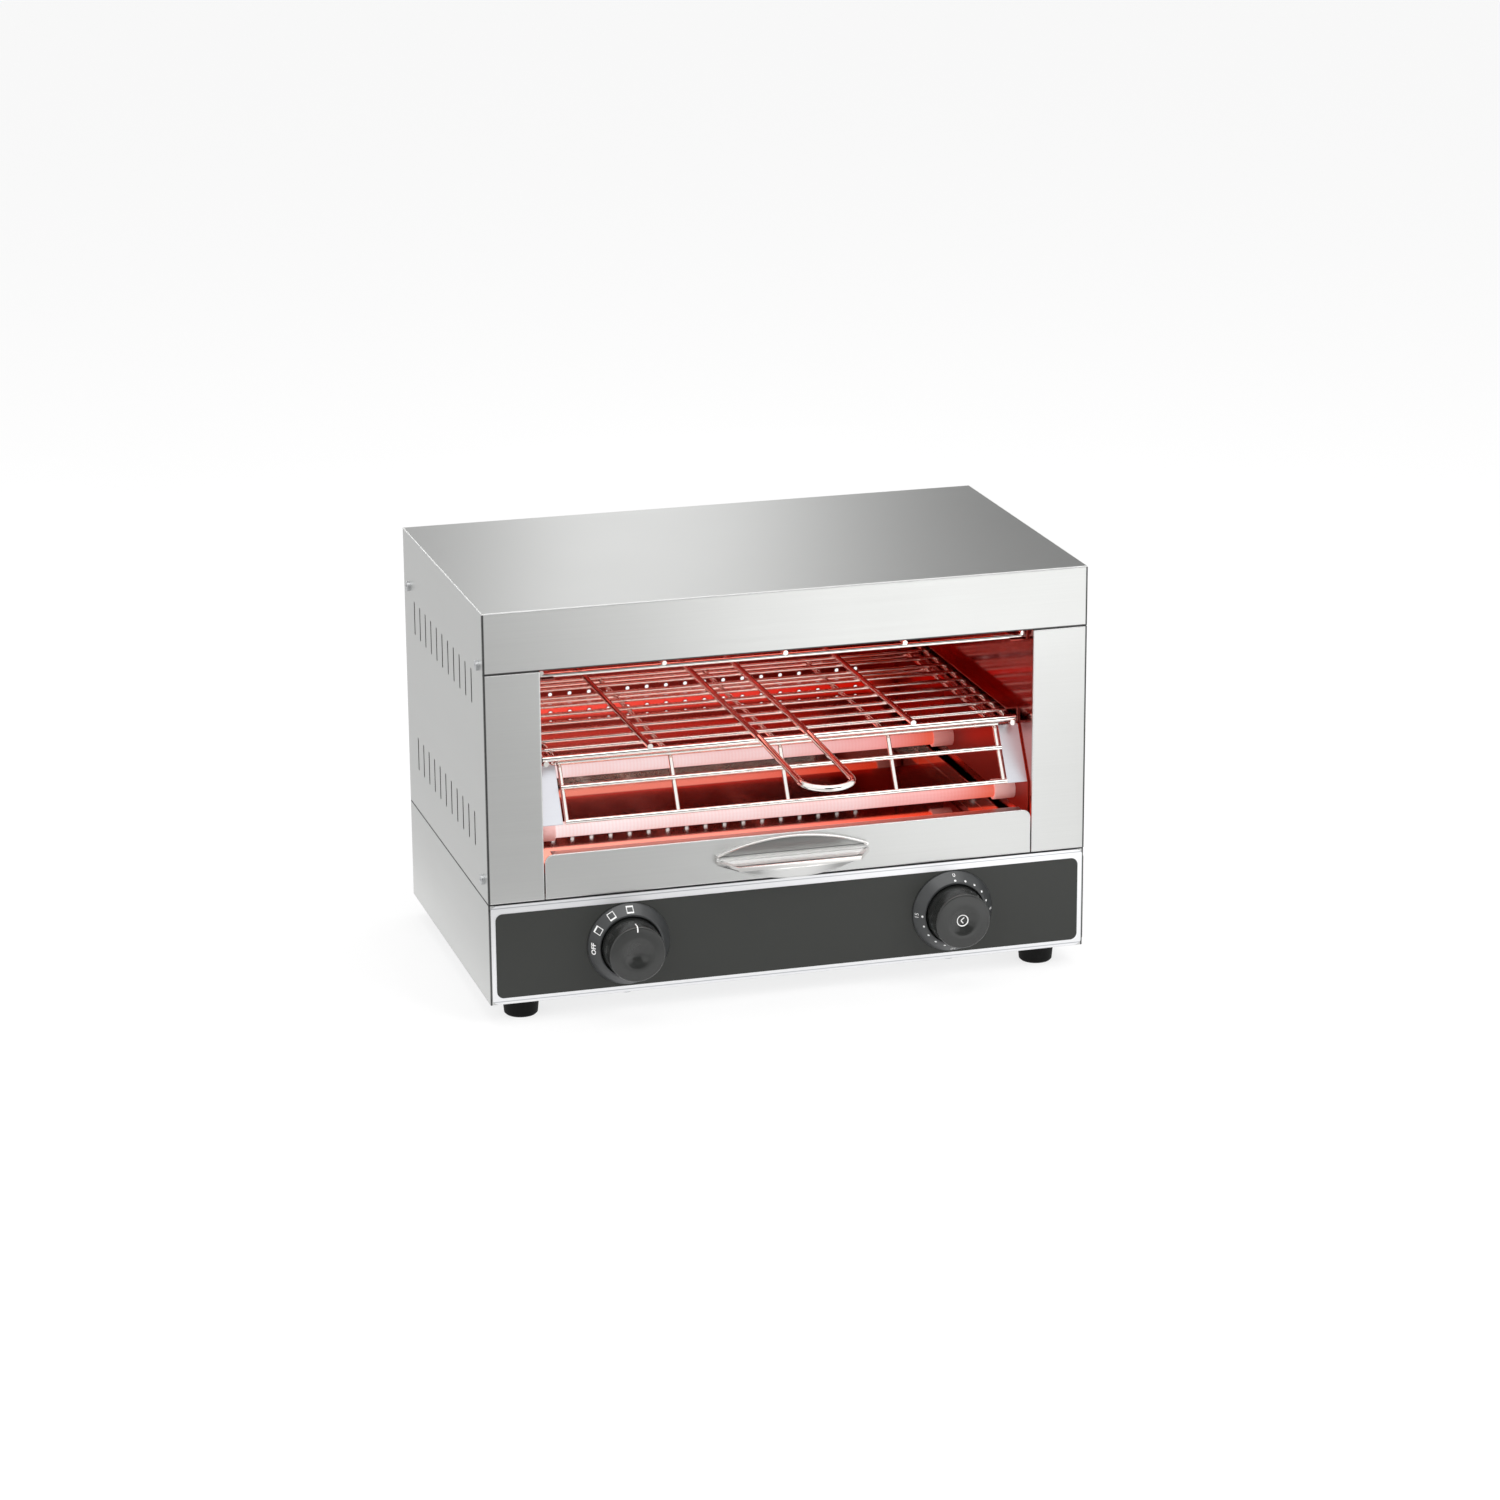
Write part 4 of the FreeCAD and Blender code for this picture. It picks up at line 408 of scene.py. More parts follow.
def makeChrome(name, colour, rough):
    material, tree, shader, place = startMaterial(name, Metallic=1.0)
    haze = useGroup(tree, handMarks, Place=place["Object"], Size=40.0, Amount=0.5)["Haze"]
    warm = (colour[0], colour[1] * 0.93, colour[2] * 0.84, 1)   # heat tint in patches
    tint = mixColour(tree, calc(tree, "ADD", haze, 0.25, clamp=True), (*colour, 1), warm)
    rougher = calc(tree, "ADD", calc(tree, "MULTIPLY", haze, 0.2), rough)
    if name == "chromeCast":
        zone = useGroup(tree, castZonesGroup, Place=place["Object"], Facing=place["Normal"])
        # painted shade: the bowl darkens towards its top
        tint = mixColour(tree, zone["Bowl"], tint, ramp(tree, zone["Height"], castZones["bowlShadeTones"]))
        tint = mixColour(tree, calc(tree, "MAXIMUM", zone["Floor"], zone["Under"]), tint, castZones["plain"])
        for part in ("Bowl", "Floor", "Under"):
            finish = castZones[part.lower() + "Rough"]
            rougher = addNode(tree, "ShaderNodeMix", {0: zone[part], 2: rougher, 3: finish}).outputs[0]
    tree.links.new(tint, shader.inputs["Base Color"])
    tree.links.new(calc(tree, "MAXIMUM", rougher, 0.02), shader.inputs["Roughness"])
    keys = {"Vector": place["Object"], "Scale": 500.0, "Detail": 2.0}
    ripple = addNode(tree, "ShaderNodeTexNoise", keys).outputs[0]
    bump = addNode(tree, "ShaderNodeBump", {"Strength": 0.04, "Distance": 0.0002, "Height": ripple})
    tree.links.new(bump.outputs[0], shader.inputs["Normal"])
    return material


glow = {
    # colours along the tube from left to right, as the eye sees them and as the sheet around them does
    "seen": [(-0.17, (0.90, 0.78, 0.79)), (0.05, (0.84, 0.60, 0.60)), (0.12, (0.85, 0.36, 0.35)), (0.16, (0.75, 0.12, 0.07))],
    "thrown": [(-0.17, (2.0, 0.75, 0.60)), (0.05, (1.9, 0.50, 0.40)), (0.12, (1.6, 0.18, 0.10)), (0.16, (1.2, 0.08, 0.03))],
    "turnPitch": 2.6 * mm, "capEdge": 163.4 * mm,
}


def makeQuartz():
    # milky quartz lit from inside by its wound wire, paler where it is hottest
    material, tree, shader, place = startMaterial("hotQuartz", Roughness=0.25, IOR=1.45)
    x = addNode(tree, "ShaderNodeSeparateXYZ", {0: place["Object"]}).outputs[0]
    turns = calc(tree, "SINE", calc(tree, "MULTIPLY", x, 2 * pi / glow["turnPitch"]))
    keys = {"Vector": place["Object"], "Scale": 22.0, "Detail": 2.0}
    patches = addNode(tree, "ShaderNodeTexNoise", keys).outputs[0]
    facing = addNode(tree, "ShaderNodeLayerWeight", {"Blend": 0.25}).outputs["Facing"]
    colour = ramp(tree, x, glow["seen"])
    deeper = mixColour(tree, 1.0, colour, (0.92, 0.62, 0.58, 1), blend="MULTIPLY")
    rim = calc(tree, "ADD", calc(tree, "MULTIPLY", turns, 0.10), spread(tree, patches, 0.35, 0.65, 0.0, 0.35))
    colour = mixColour(tree, calc(tree, "ADD", rim, calc(tree, "MULTIPLY", facing, 0.9), clamp=True), colour, deeper)
    rays = addNode(tree, "ShaderNodeLightPath").outputs
    thrown = addNode(tree, "ShaderNodeVectorMath", {0: ramp(tree, x, halved(glow["thrown"])), "Scale": 2.0}, operation="SCALE")
    tree.links.new(mixColour(tree, rays["Is Camera Ray"], thrown.outputs[0], colour), shader.inputs["Emission Color"])
    shader.inputs["Emission Strength"].default_value = 1.0
    base = mixColour(tree, patches, (0.10, 0.07, 0.06, 1), (0.14, 0.09, 0.08, 1))
    tree.links.new(base, shader.inputs["Base Color"])
    return material


def makeCeramic():
    # pale ceramic with painted red glow from the tube, strongest where it grips the tube
    material = makePlastic("ceramic")
    tree = material.node_tree
    shader = tree.nodes["Principled BSDF"]
    place = addNode(tree, "ShaderNodeTexCoord").outputs
    x = addNode(tree, "ShaderNodeSeparateXYZ", {0: place["Object"]}).outputs[0]
    away = calc(tree, "SUBTRACT", calc(tree, "ABSOLUTE", x), glow["capEdge"])
    warm = spread(tree, away, 0.0, 14 * mm, 1.0, 0.15)
    # painted glow: the cap emits red light that fades away from the tube's end
    tree.links.new(mixColour(tree, warm, (0.30, 0.02, 0.01, 1), (0.95, 0.32, 0.28, 1)), shader.inputs["Emission Color"])
    shader.inputs["Emission Strength"].default_value = 0.35
    return material


def makeHotWire():
    material, tree, shader, place = startMaterial("hotWire", Roughness=0.6, Metallic=0.6)
    keys = {"Vector": place["Object"], "Scale": 30.0}
    patches = addNode(tree, "ShaderNodeTexNoise", keys).outputs[0]
    tree.links.new(mixColour(tree, patches, (0.9, 0.16, 0.04, 1), (1.0, 0.3, 0.1, 1)), shader.inputs["Emission Color"])
    shader.inputs["Emission Strength"].default_value = 1.5
    tree.links.new(mixColour(tree, patches, (0.2, 0.12, 0.1, 1), (0.32, 0.2, 0.16, 1)), shader.inputs["Base Color"])
    return material


materials = {name: makeSteel(name) for name in steelFinishes}
materials["cavitySteel"] = makeSteel("cavitySteel", "brushedSteel")
materials["borderedSteel"] = makeSteel("borderedSteel", "satinBorder")
materials.update({name: makePlastic(name) for name in plasticFinishes if name != "ceramic"})
materials["ceramic"] = makeCeramic()
materials["chromeWire"] = makeChrome("chromeWire", (0.97, 0.95, 0.93), 0.09)
materials["chromeCast"] = makeChrome("chromeCast", (0.80, 0.80, 0.80), 0.13)
materials["hotQuartz"] = makeQuartz()
materials["hotWire"] = makeHotWire()

finishOfSlot = {
    "brushed_steel": "brushedSteel", "polished_steel": "cavitySteel", "zinc_steel": "zincSteel",
    "satin_aluminium": "satinBorder", "black_film": "blackFilm", "black_rubber": "footRubber",
    "black_plastic": "bezelPlastic", "dark_resin": "darkResin", "brass": "brass", "quartz": "hotQuartz",
    "ceramic": "ceramic", "element_wire": "hotWire", "chrome_wire": "chromeWire",
    "chrome_cast": "chromeCast", "lead_sleeve": "leadSleeve",
}
finishOfNode = {
    "rear_panel": "cavitySteel", "left_cavity_wall": "cavitySteel", "right_cavity_wall": "cavitySteel",
    "crumb_tray": "panSteel", "cavity_deck": "panSteel", "control_fascia": "borderedSteel",
    "left_lower_bracket": "stripSteel", "right_lower_bracket": "stripSteel",
}


def setMaterial(obj, material):
    obj.data.materials.clear()
    obj.data.materials.append(material)


for part in frame["record"]["subparts"]:
    name = part["node"]
    finish = finishOfNode.get(name, finishOfSlot[part["material_slot"]])
    setMaterial(nodes[name], materials[finish])
print("materials made:", len(materials))


# Small helpers for pieces

def clearSelection():
    if bpy.context.object and bpy.context.object.mode != "OBJECT":
        bpy.ops.object.mode_set(mode="OBJECT")
    bpy.ops.object.select_all(action="DESELECT")


def pick(obj):
    clearSelection()
    obj.select_set(True)
    bpy.context.view_layer.objects.active = obj


def settle(obj, body, material, angle=35):
    # puts the place into the mesh, smooths it and hangs it on its body
    pick(obj)
    bpy.ops.object.transform_apply(location=True, rotation=True, scale=True)
    bpy.ops.object.shade_smooth_by_angle(angle=radians(angle))
    setMaterial(obj, materials[material])
    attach(obj, body)
    return obj


def turnRings(name, centre, rings, segments=96):
    # a round piece facing the front, drawn out ring by ring from its back disc
    firstRadius, firstDepth = rings[0]
    clearSelection()
    place = (centre[0], centre[1] - firstDepth, centre[2])
    bpy.ops.mesh.primitive_circle_add(
        vertices=segments, radius=firstRadius, fill_type="NGON", location=place, rotation=(pi / 2, 0, 0)
    )
    obj = bpy.context.object
    obj.name = name
    bpy.ops.object.transform_apply(location=False, rotation=True, scale=False)
    bpy.ops.object.mode_set(mode="EDIT")
    bpy.ops.mesh.select_mode(type="FACE")
    bpy.ops.mesh.select_all(action="SELECT")
    radius, depth = firstRadius, firstDepth
    for newRadius, newDepth in rings[1:]:
        bpy.ops.mesh.extrude_region_move(TRANSFORM_OT_translate={"value": (0, depth - newDepth, 0)})
        size = newRadius / radius
        bpy.ops.transform.resize(value=(size, 1, size))
        radius, depth = newRadius, newDepth
    bpy.ops.mesh.select_all(action="SELECT")
    bpy.ops.mesh.normals_make_consistent(inside=False)
    bpy.ops.object.mode_set(mode="OBJECT")
    return obj


def arcRings(centreRadius, centreDepth, size, start, stop, steps):
    # ring list round a quarter turn, angles measured from outward towards the front
    rings = []
    for step in range(steps + 1):
        angle = radians(start + (stop - start) * step / steps)
        rings.append((centreRadius + size * cos(angle), centreDepth + size * sin(angle)))
    return rings


# Dials

dial = {
    "bezelRadius": 30.0 * mm, "bezelTop": 23.5 * mm, "bezelBore": 22.0 * mm,
    "bezelHeight": 8.0 * mm, "bezelEdge": 1.2 * mm, "bezelRound": 0.6 * mm,
    "knobBack": 21.2 * mm, "knobFront": 20.4 * mm, "knobGap": 3.2 * mm, "knobReach": 26.5 * mm,
    "knobRound": 1.6 * mm, "dishRadius": 10.5 * mm, "dishDepth": 3.6 * mm,
    "wordSize": 5.0 * mm, "wordBold": 0.16 * mm, "figureSize": 4.4 * mm, "figureRadius": 27.7 * mm, "dotRadius": 24.6 * mm, "dotSize": 0.85 * mm,
    "squareRadius": 26.5 * mm, "squareWidth": 5.2 * mm, "squareHeight": 6.2 * mm, "lift": 0.05 * mm,
}
dialCentres = {}
for dialName in ("selector", "timer"):
    low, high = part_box(f"{dialName}_bezel")
    dialCentres[dialName] = ((low.x + high.x) / 2, high.y, (low.z + high.z) / 2)


def coneRing(inset):
    # a ring on the dial's cone, this far in from its outer edge
    d = dial
    rise = (d["bezelHeight"] - d["bezelEdge"]) / (d["bezelRadius"] - d["bezelTop"])
    return (d["bezelRadius"] - inset, d["bezelEdge"] + inset * rise)


def makeBezel(dialName):
    d = dial
    round_ = d["bezelRound"]
    rings = [(d["bezelBore"], 0), (d["bezelRadius"] - round_ * 0.3, 0), (d["bezelRadius"], round_ * 0.3)]
    rings += [(d["bezelRadius"], d["bezelEdge"] - 0.25 * mm), (d["bezelRadius"] - 0.06 * mm, d["bezelEdge"] - 0.02 * mm)]
    rings += [coneRing(0.20 * mm), coneRing(6.20 * mm)]
    rings += [(d["bezelTop"] + 0.08 * mm, d["bezelHeight"] - 0.10 * mm), (d["bezelTop"] - 0.15 * mm, d["bezelHeight"])]
    rings += arcRings(d["bezelBore"] + round_, d["bezelHeight"] - round_, round_, 90, 180, 5)
    rings += [(d["bezelBore"], 0.3 * mm)]
    obj = turnRings(f"{dialName}DialRing", dialCentres[dialName], rings)
    bpy.ops.object.mode_set(mode="EDIT")
    bpy.ops.mesh.select_all(action="DESELECT")
    bpy.ops.object.mode_set(mode="OBJECT")
    for face in obj.data.polygons:      # the two end discs go, and the bore's ends are joined
        face.select = len(face.vertices) > 4
    bpy.ops.object.mode_set(mode="EDIT")
    bpy.ops.mesh.delete(type="ONLY_FACE")
    bpy.ops.mesh.select_mode(type="EDGE")
    bpy.ops.mesh.select_non_manifold()
    bpy.ops.mesh.bridge_edge_loops()
    bpy.ops.mesh.select_all(action="SELECT")
    bpy.ops.mesh.normals_make_consistent(inside=False)
    bpy.ops.object.mode_set(mode="OBJECT")
    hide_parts(f"{dialName}_bezel")
    return settle(obj, "cabinet", "bezelPlastic", angle=30)


def makeKnob(dialName):
    d = dial
    front, round_ = d["knobFront"], d["knobRound"]
    rings = [(d["knobBack"] - 0.6 * mm, d["knobGap"]), (d["knobBack"], d["knobGap"] + 0.6 * mm)]
    rings += [(d["knobBack"] - 0.2 * mm, d["knobGap"] + 6 * mm)]
    rings += arcRings(front - round_, d["knobReach"] - round_ - 0.5 * mm, round_, 4, 84, 7)
    rings += [(front * 0.76, d["knobReach"] - 0.16 * mm), (front * 0.64, d["knobReach"])]
    for step in range(1, 9):        # the finger dish eases in and out again
        share = step / 8
        drop = d["dishDepth"] * (0.5 - 0.5 * cos(pi * share))
        rings.append((d["dishRadius"] * (1.18 - 1.12 * share), d["knobReach"] - drop))
    obj = turnRings(f"{dialName}KnobShell", dialCentres[dialName], rings)
    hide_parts(f"{dialName}_knob")
    return settle(obj, dialName, "knobPlastic", angle=50)


def ringMatrix(dialName, angle, radius):
    # stands a flat mark on the dial ring's cone: angle is clockwise from the top
    d = dial
    fall = (d["bezelRadius"] - d["bezelTop"], d["bezelHeight"] - d["bezelEdge"])
    length = (fall[0] ** 2 + fall[1] ** 2) ** 0.5
    depth = coneRing(d["bezelRadius"] - radius)[1]
    turn = radians(angle)
    outward, forward = Vector((sin(turn), 0, cos(turn))), Vector((0, -1, 0))
    across = Vector((cos(turn), 0, -sin(turn)))
    up = outward * (fall[0] / length) - forward * (fall[1] / length)
    normal = outward * (fall[1] / length) + forward * (fall[0] / length)
    place = Vector(dialCentres[dialName]) + outward * radius + forward * depth + normal * d["lift"]
    matrix = Matrix((across, up, normal)).transposed().to_4x4()
    matrix.translation = place
    return matrix


def addText(name, words, size, matrix, bold=0.0, thickness=0.06 * mm):
    clearSelection()
    bpy.ops.object.text_add(location=(0, 0, 0))
    obj = bpy.context.object
    obj.name = name
    obj.data.body = words
    obj.data.size = size
    obj.data.extrude, obj.data.offset = thickness / 2, bold
    obj.data.align_x, obj.data.align_y = "CENTER", "CENTER"
    obj.data.resolution_u = 3
    bpy.ops.object.convert(target="MESH")
    obj = bpy.context.object
    obj.matrix_world = matrix
    return obj


def mergeInto(name, group):
    clearSelection()
    for obj in group:
        obj.select_set(True)
    bpy.context.view_layer.objects.active = group[0]
    if len(group) > 1:
        bpy.ops.object.join()
    obj = bpy.context.object
    obj.name = name
    return obj


def addBar(low, high, matrix, thickness=0.06 * mm):
    # a thin printed bar between two corners of the mark's own plane
    clearSelection()
    middle = ((low[0] + high[0]) / 2, (low[1] + high[1]) / 2, 0)
    bpy.ops.mesh.primitive_plane_add(size=1, location=middle)
    obj = bpy.context.object
    obj.scale = (high[0] - low[0], high[1] - low[1], 1)
    bpy.ops.object.transform_apply(location=True, rotation=True, scale=True)
    bpy.ops.object.mode_set(mode="EDIT")
    bpy.ops.mesh.select_all(action="SELECT")
    bpy.ops.mesh.extrude_region_move(TRANSFORM_OT_translate={"value": (0, 0, thickness)})
    bpy.ops.mesh.select_all(action="SELECT")
    bpy.ops.mesh.normals_make_consistent(inside=False)
    bpy.ops.object.mode_set(mode="OBJECT")
    obj.matrix_world = matrix
    return obj


def addDisc(radius, matrix, thickness=0.06 * mm, hole=0.0, segments=20):
    clearSelection()
    bpy.ops.mesh.primitive_circle_add(vertices=segments, radius=radius, fill_type="NGON", location=(0, 0, 0))
    obj = bpy.context.object
    bpy.ops.object.mode_set(mode="EDIT")
    bpy.ops.mesh.select_all(action="SELECT")
    if hole:
        bpy.ops.mesh.inset(thickness=radius - hole)
        bpy.ops.mesh.delete(type="FACE")
        bpy.ops.mesh.select_all(action="SELECT")
    bpy.ops.mesh.extrude_region_move(TRANSFORM_OT_translate={"value": (0, 0, thickness)})
    bpy.ops.mesh.select_all(action="SELECT")
    bpy.ops.mesh.normals_make_consistent(inside=False)
    bpy.ops.object.mode_set(mode="OBJECT")
    obj.matrix_world = matrix
    return obj


def makeSelectorMarks():
    d = dial
    place = ringMatrix("selector", -90, d["squareRadius"])
    words = addText("selectorOff", "OFF", d["wordSize"], place, d["wordBold"])
    settle(words, "cabinet", "printWhite")
    side, tall, line = d["squareWidth"] / 2, d["squareHeight"] / 2, 0.55 * mm
    heat = {-60: (line, line * 2.3), -30: (line * 2.3, line), 0: (line * 2.3, line * 2.3)}
    for index, (angle, (bottom, top)) in enumerate(heat.items(), start=1):
        matrix = ringMatrix("selector", angle, d["squareRadius"])
        bars = [
            addBar((-side, -tall), (side, -tall + bottom), matrix),
            addBar((-side, tall - top), (side, tall), matrix),
            addBar((-side, -tall + bottom), (-side + line, tall - top), matrix),
            addBar((side - line, -tall + bottom), (side, tall - top), matrix),
        ]
        settle(mergeInto(f"selectorHeatMark{index}", bars), "cabinet", "printWhite")


def makeTimerMarks():
    d = dial
    step = 18
    dots = [addDisc(d["dotSize"], ringMatrix("timer", step * k, d["dotRadius"])) for k in range(16)]
    settle(mergeInto("timerDots", dots), "cabinet", "printWhite")
    for minutes in (0, 5, 10, 15):
        matrix = ringMatrix("timer", step * minutes, d["figureRadius"])
        figure = addText(f"timerFigure{minutes}", str(minutes), d["figureSize"], matrix)
        settle(figure, "cabinet", "printWhite")


def makeClock():
    # clock sign on the timer knob, a ring and two hands, laid onto the dish
    cx, cy, cz = dialCentres["timer"]
    flat = (cx, cy - dial["knobReach"] - 2 * mm, cz)
    clearSelection()
    bpy.ops.mesh.primitive_circle_add(
        vertices=48, radius=4.4 * mm, fill_type="NGON", location=flat, rotation=(pi / 2, 0, 0)
    )
    ring = bpy.context.object
    bpy.ops.object.mode_set(mode="EDIT")
    bpy.ops.mesh.select_all(action="SELECT")
    bpy.ops.mesh.inset(thickness=0.75 * mm)
    bpy.ops.mesh.delete(type="FACE")
    bpy.ops.object.mode_set(mode="OBJECT")
    parts = [ring]
    for length, angle in ((3.1 * mm, 38), (2.8 * mm, -52)):
        turn = radians(angle)
        middle = (flat[0] - 1.1 * mm + length / 2 * cos(turn), flat[1], flat[2] + length / 2 * sin(turn))
        clearSelection()
        bpy.ops.mesh.primitive_plane_add(size=1, location=middle, rotation=(pi / 2, -turn, 0))
        hand = bpy.context.object
        hand.scale = (length, 0.75 * mm, 1)
        parts.append(hand)
    sign = mergeInto("timerClockSign", parts)
    bpy.ops.object.transform_apply(location=True, rotation=True, scale=True)
    bpy.ops.object.mode_set(mode="EDIT")
    bpy.ops.mesh.select_all(action="SELECT")
    bpy.ops.mesh.subdivide(number_cuts=3)
    bpy.ops.object.mode_set(mode="OBJECT")
    layOn = sign.modifiers.new("lay on", "SHRINKWRAP")
    layOn.target = bpy.data.objects["timerKnobShell"]
    layOn.wrap_method, layOn.use_project_y = "PROJECT", True
    layOn.use_positive_direction, layOn.use_negative_direction = True, True
    layOn.offset = 0.08 * mm
    thicken(sign, 0.08 * mm)
    settle(sign, "timer", "printWhite")


def thicken(obj, wall):
    solid = obj.modifiers.new("thickness", "SOLIDIFY")
    solid.thickness, solid.offset = wall, 0
    pick(obj)
    for modifier in list(obj.modifiers):
        bpy.ops.object.modifier_apply(modifier=modifier.name)


def makePointer():
    # white line over the selector knob's shoulder, drawn out from a short strip on its side
    d = dial
    half, wall = 0.45 * mm, 0.12 * mm
    cx, cy, cz = dialCentres["selector"]
    shoulder, reach = d["knobFront"] - d["knobRound"], d["knobReach"] - d["knobRound"] - 0.5 * mm
    path = [(d["knobFront"] + 0.35 * mm, 19.0 * mm), (d["knobFront"] + 0.05 * mm, reach)]
    path += arcRings(shoulder, reach, d["knobRound"], 10, 84, 5)
    path += [(d["knobFront"] * 0.80, d["knobReach"] - 0.20 * mm)]
    (radius, depth), (nextRadius, nextDepth) = path[:2]
    clearSelection()
    place = (cx, cy - (depth + nextDepth) / 2, cz + (radius + nextRadius) / 2)
    bpy.ops.mesh.primitive_plane_add(size=1, location=place)
    obj = bpy.context.object
    obj.name = "selectorPointer"
    obj.scale = (2 * half, nextDepth - depth, 1)
    bpy.ops.object.transform_apply(location=True, rotation=True, scale=True)
    front = min(vertex.co.y for vertex in obj.data.vertices)
    bpy.ops.object.mode_set(mode="EDIT")
    bpy.ops.mesh.select_mode(type="EDGE")
    bpy.ops.mesh.select_all(action="DESELECT")
    bpy.ops.object.mode_set(mode="OBJECT")
    for edge in obj.data.edges:
        edge.select = all(obj.data.vertices[index].co.y < front + 0.01 * mm for index in edge.vertices)
    bpy.ops.object.mode_set(mode="EDIT")
    for (radius, depth), (nextRadius, nextDepth) in zip(path[1:], path[2:]):
        move = (0, depth - nextDepth, nextRadius - radius)
        bpy.ops.mesh.extrude_region_move(TRANSFORM_OT_translate={"value": move})
    bpy.ops.object.mode_set(mode="OBJECT")
    thicken(obj, wall)
    settle(obj, "selector", "printWhite")


for dialName in dialCentres:
    makeBezel(dialName)
    makeKnob(dialName)
makeSelectorMarks()
makeTimerMarks()
makeClock()
makePointer()
print("dials made")


# Tray pull

pull = {
    "tip": 3.0 * mm, "tipRise": 14.0 * mm, "plate": 3.2 * mm, "side": 5.5 * mm, "heel": 14.0 * mm, "end": 11.0 * mm,
    "lipRise": 13.8 * mm, "lip": 3.0 * mm, "wellEdge": 3.4 * mm, "wellDepth": 1.5 * mm, "rim": 1.3 * mm, "bowlDepth": 1.9 * mm,
    "round": 0.7 * mm, "roundSteps": 3, "facetInset": 1.0 * mm, "groove": 0.35 * mm,
    "bigFace": 100 * mm ** 2, "border": 0.15 * mm,
}


def pickFaces(obj, rule):
    # leaves edit mode on, with just the faces chosen by their middle and normal
    bpy.ops.object.mode_set(mode="EDIT")
    bpy.ops.mesh.select_mode(type="FACE")
    bpy.ops.mesh.select_all(action="DESELECT")
    bpy.ops.object.mode_set(mode="OBJECT")
    for face in obj.data.polygons:
        face.select = rule(face)
    bpy.ops.object.mode_set(mode="EDIT")


def pickEdges(obj, rule):
    bpy.ops.object.mode_set(mode="EDIT")
    bpy.ops.mesh.select_mode(type="EDGE")
    bpy.ops.mesh.select_all(action="DESELECT")
    bpy.ops.object.mode_set(mode="OBJECT")
    for edge in obj.data.edges:
        edge.select = rule([obj.data.vertices[index].co for index in edge.vertices])
    bpy.ops.object.mode_set(mode="EDIT")


def drawOut(y, value=(1, 1, 1), z=0.0):
    # pulls the chosen faces forward by y and resizes them about the middle line at height z
    bpy.ops.mesh.extrude_region_move(TRANSFORM_OT_translate={"value": (0, -y, 0)})
    bpy.ops.transform.resize(value=value, center_override=(0, 0, z))


def makeLens(name, low, high, tipHeight, tip):
    # an upright lens: a slice off a big disc, its mirror image below, and a strip between
    half, rise = (high.x - low.x) / 2, high.z - tipHeight - tip
    radius = (half ** 2 + rise ** 2) / (2 * rise)
    clearSelection()
    place = (0, high.y, high.z - radius)
    bpy.ops.mesh.primitive_circle_add(
        vertices=360, radius=radius, fill_type="NGON", location=place, rotation=(pi / 2, 0, 0)
    )
    obj = bpy.context.object
    obj.name = name
    bpy.ops.object.transform_apply(location=True, rotation=True, scale=True)
    bpy.ops.object.mode_set(mode="EDIT")
    bpy.ops.mesh.select_mode(type="FACE")
    bpy.ops.mesh.select_all(action="SELECT")
    bpy.ops.mesh.bisect(plane_co=(0, 0, tipHeight + tip), plane_no=(0, 0, 1), clear_inner=True)
    bpy.ops.mesh.select_all(action="SELECT")
    bpy.ops.mesh.duplicate_move()
    bpy.ops.transform.resize(value=(1, 1, -1), center_override=(0, 0, tipHeight))
    pickEdges(obj, lambda ends: (ends[0] - ends[1]).length > half)
    bpy.ops.mesh.bridge_edge_loops()
    bpy.ops.mesh.select_mode(type="FACE")
    bpy.ops.mesh.select_all(action="SELECT")
    bpy.ops.mesh.dissolve_faces()
    return obj


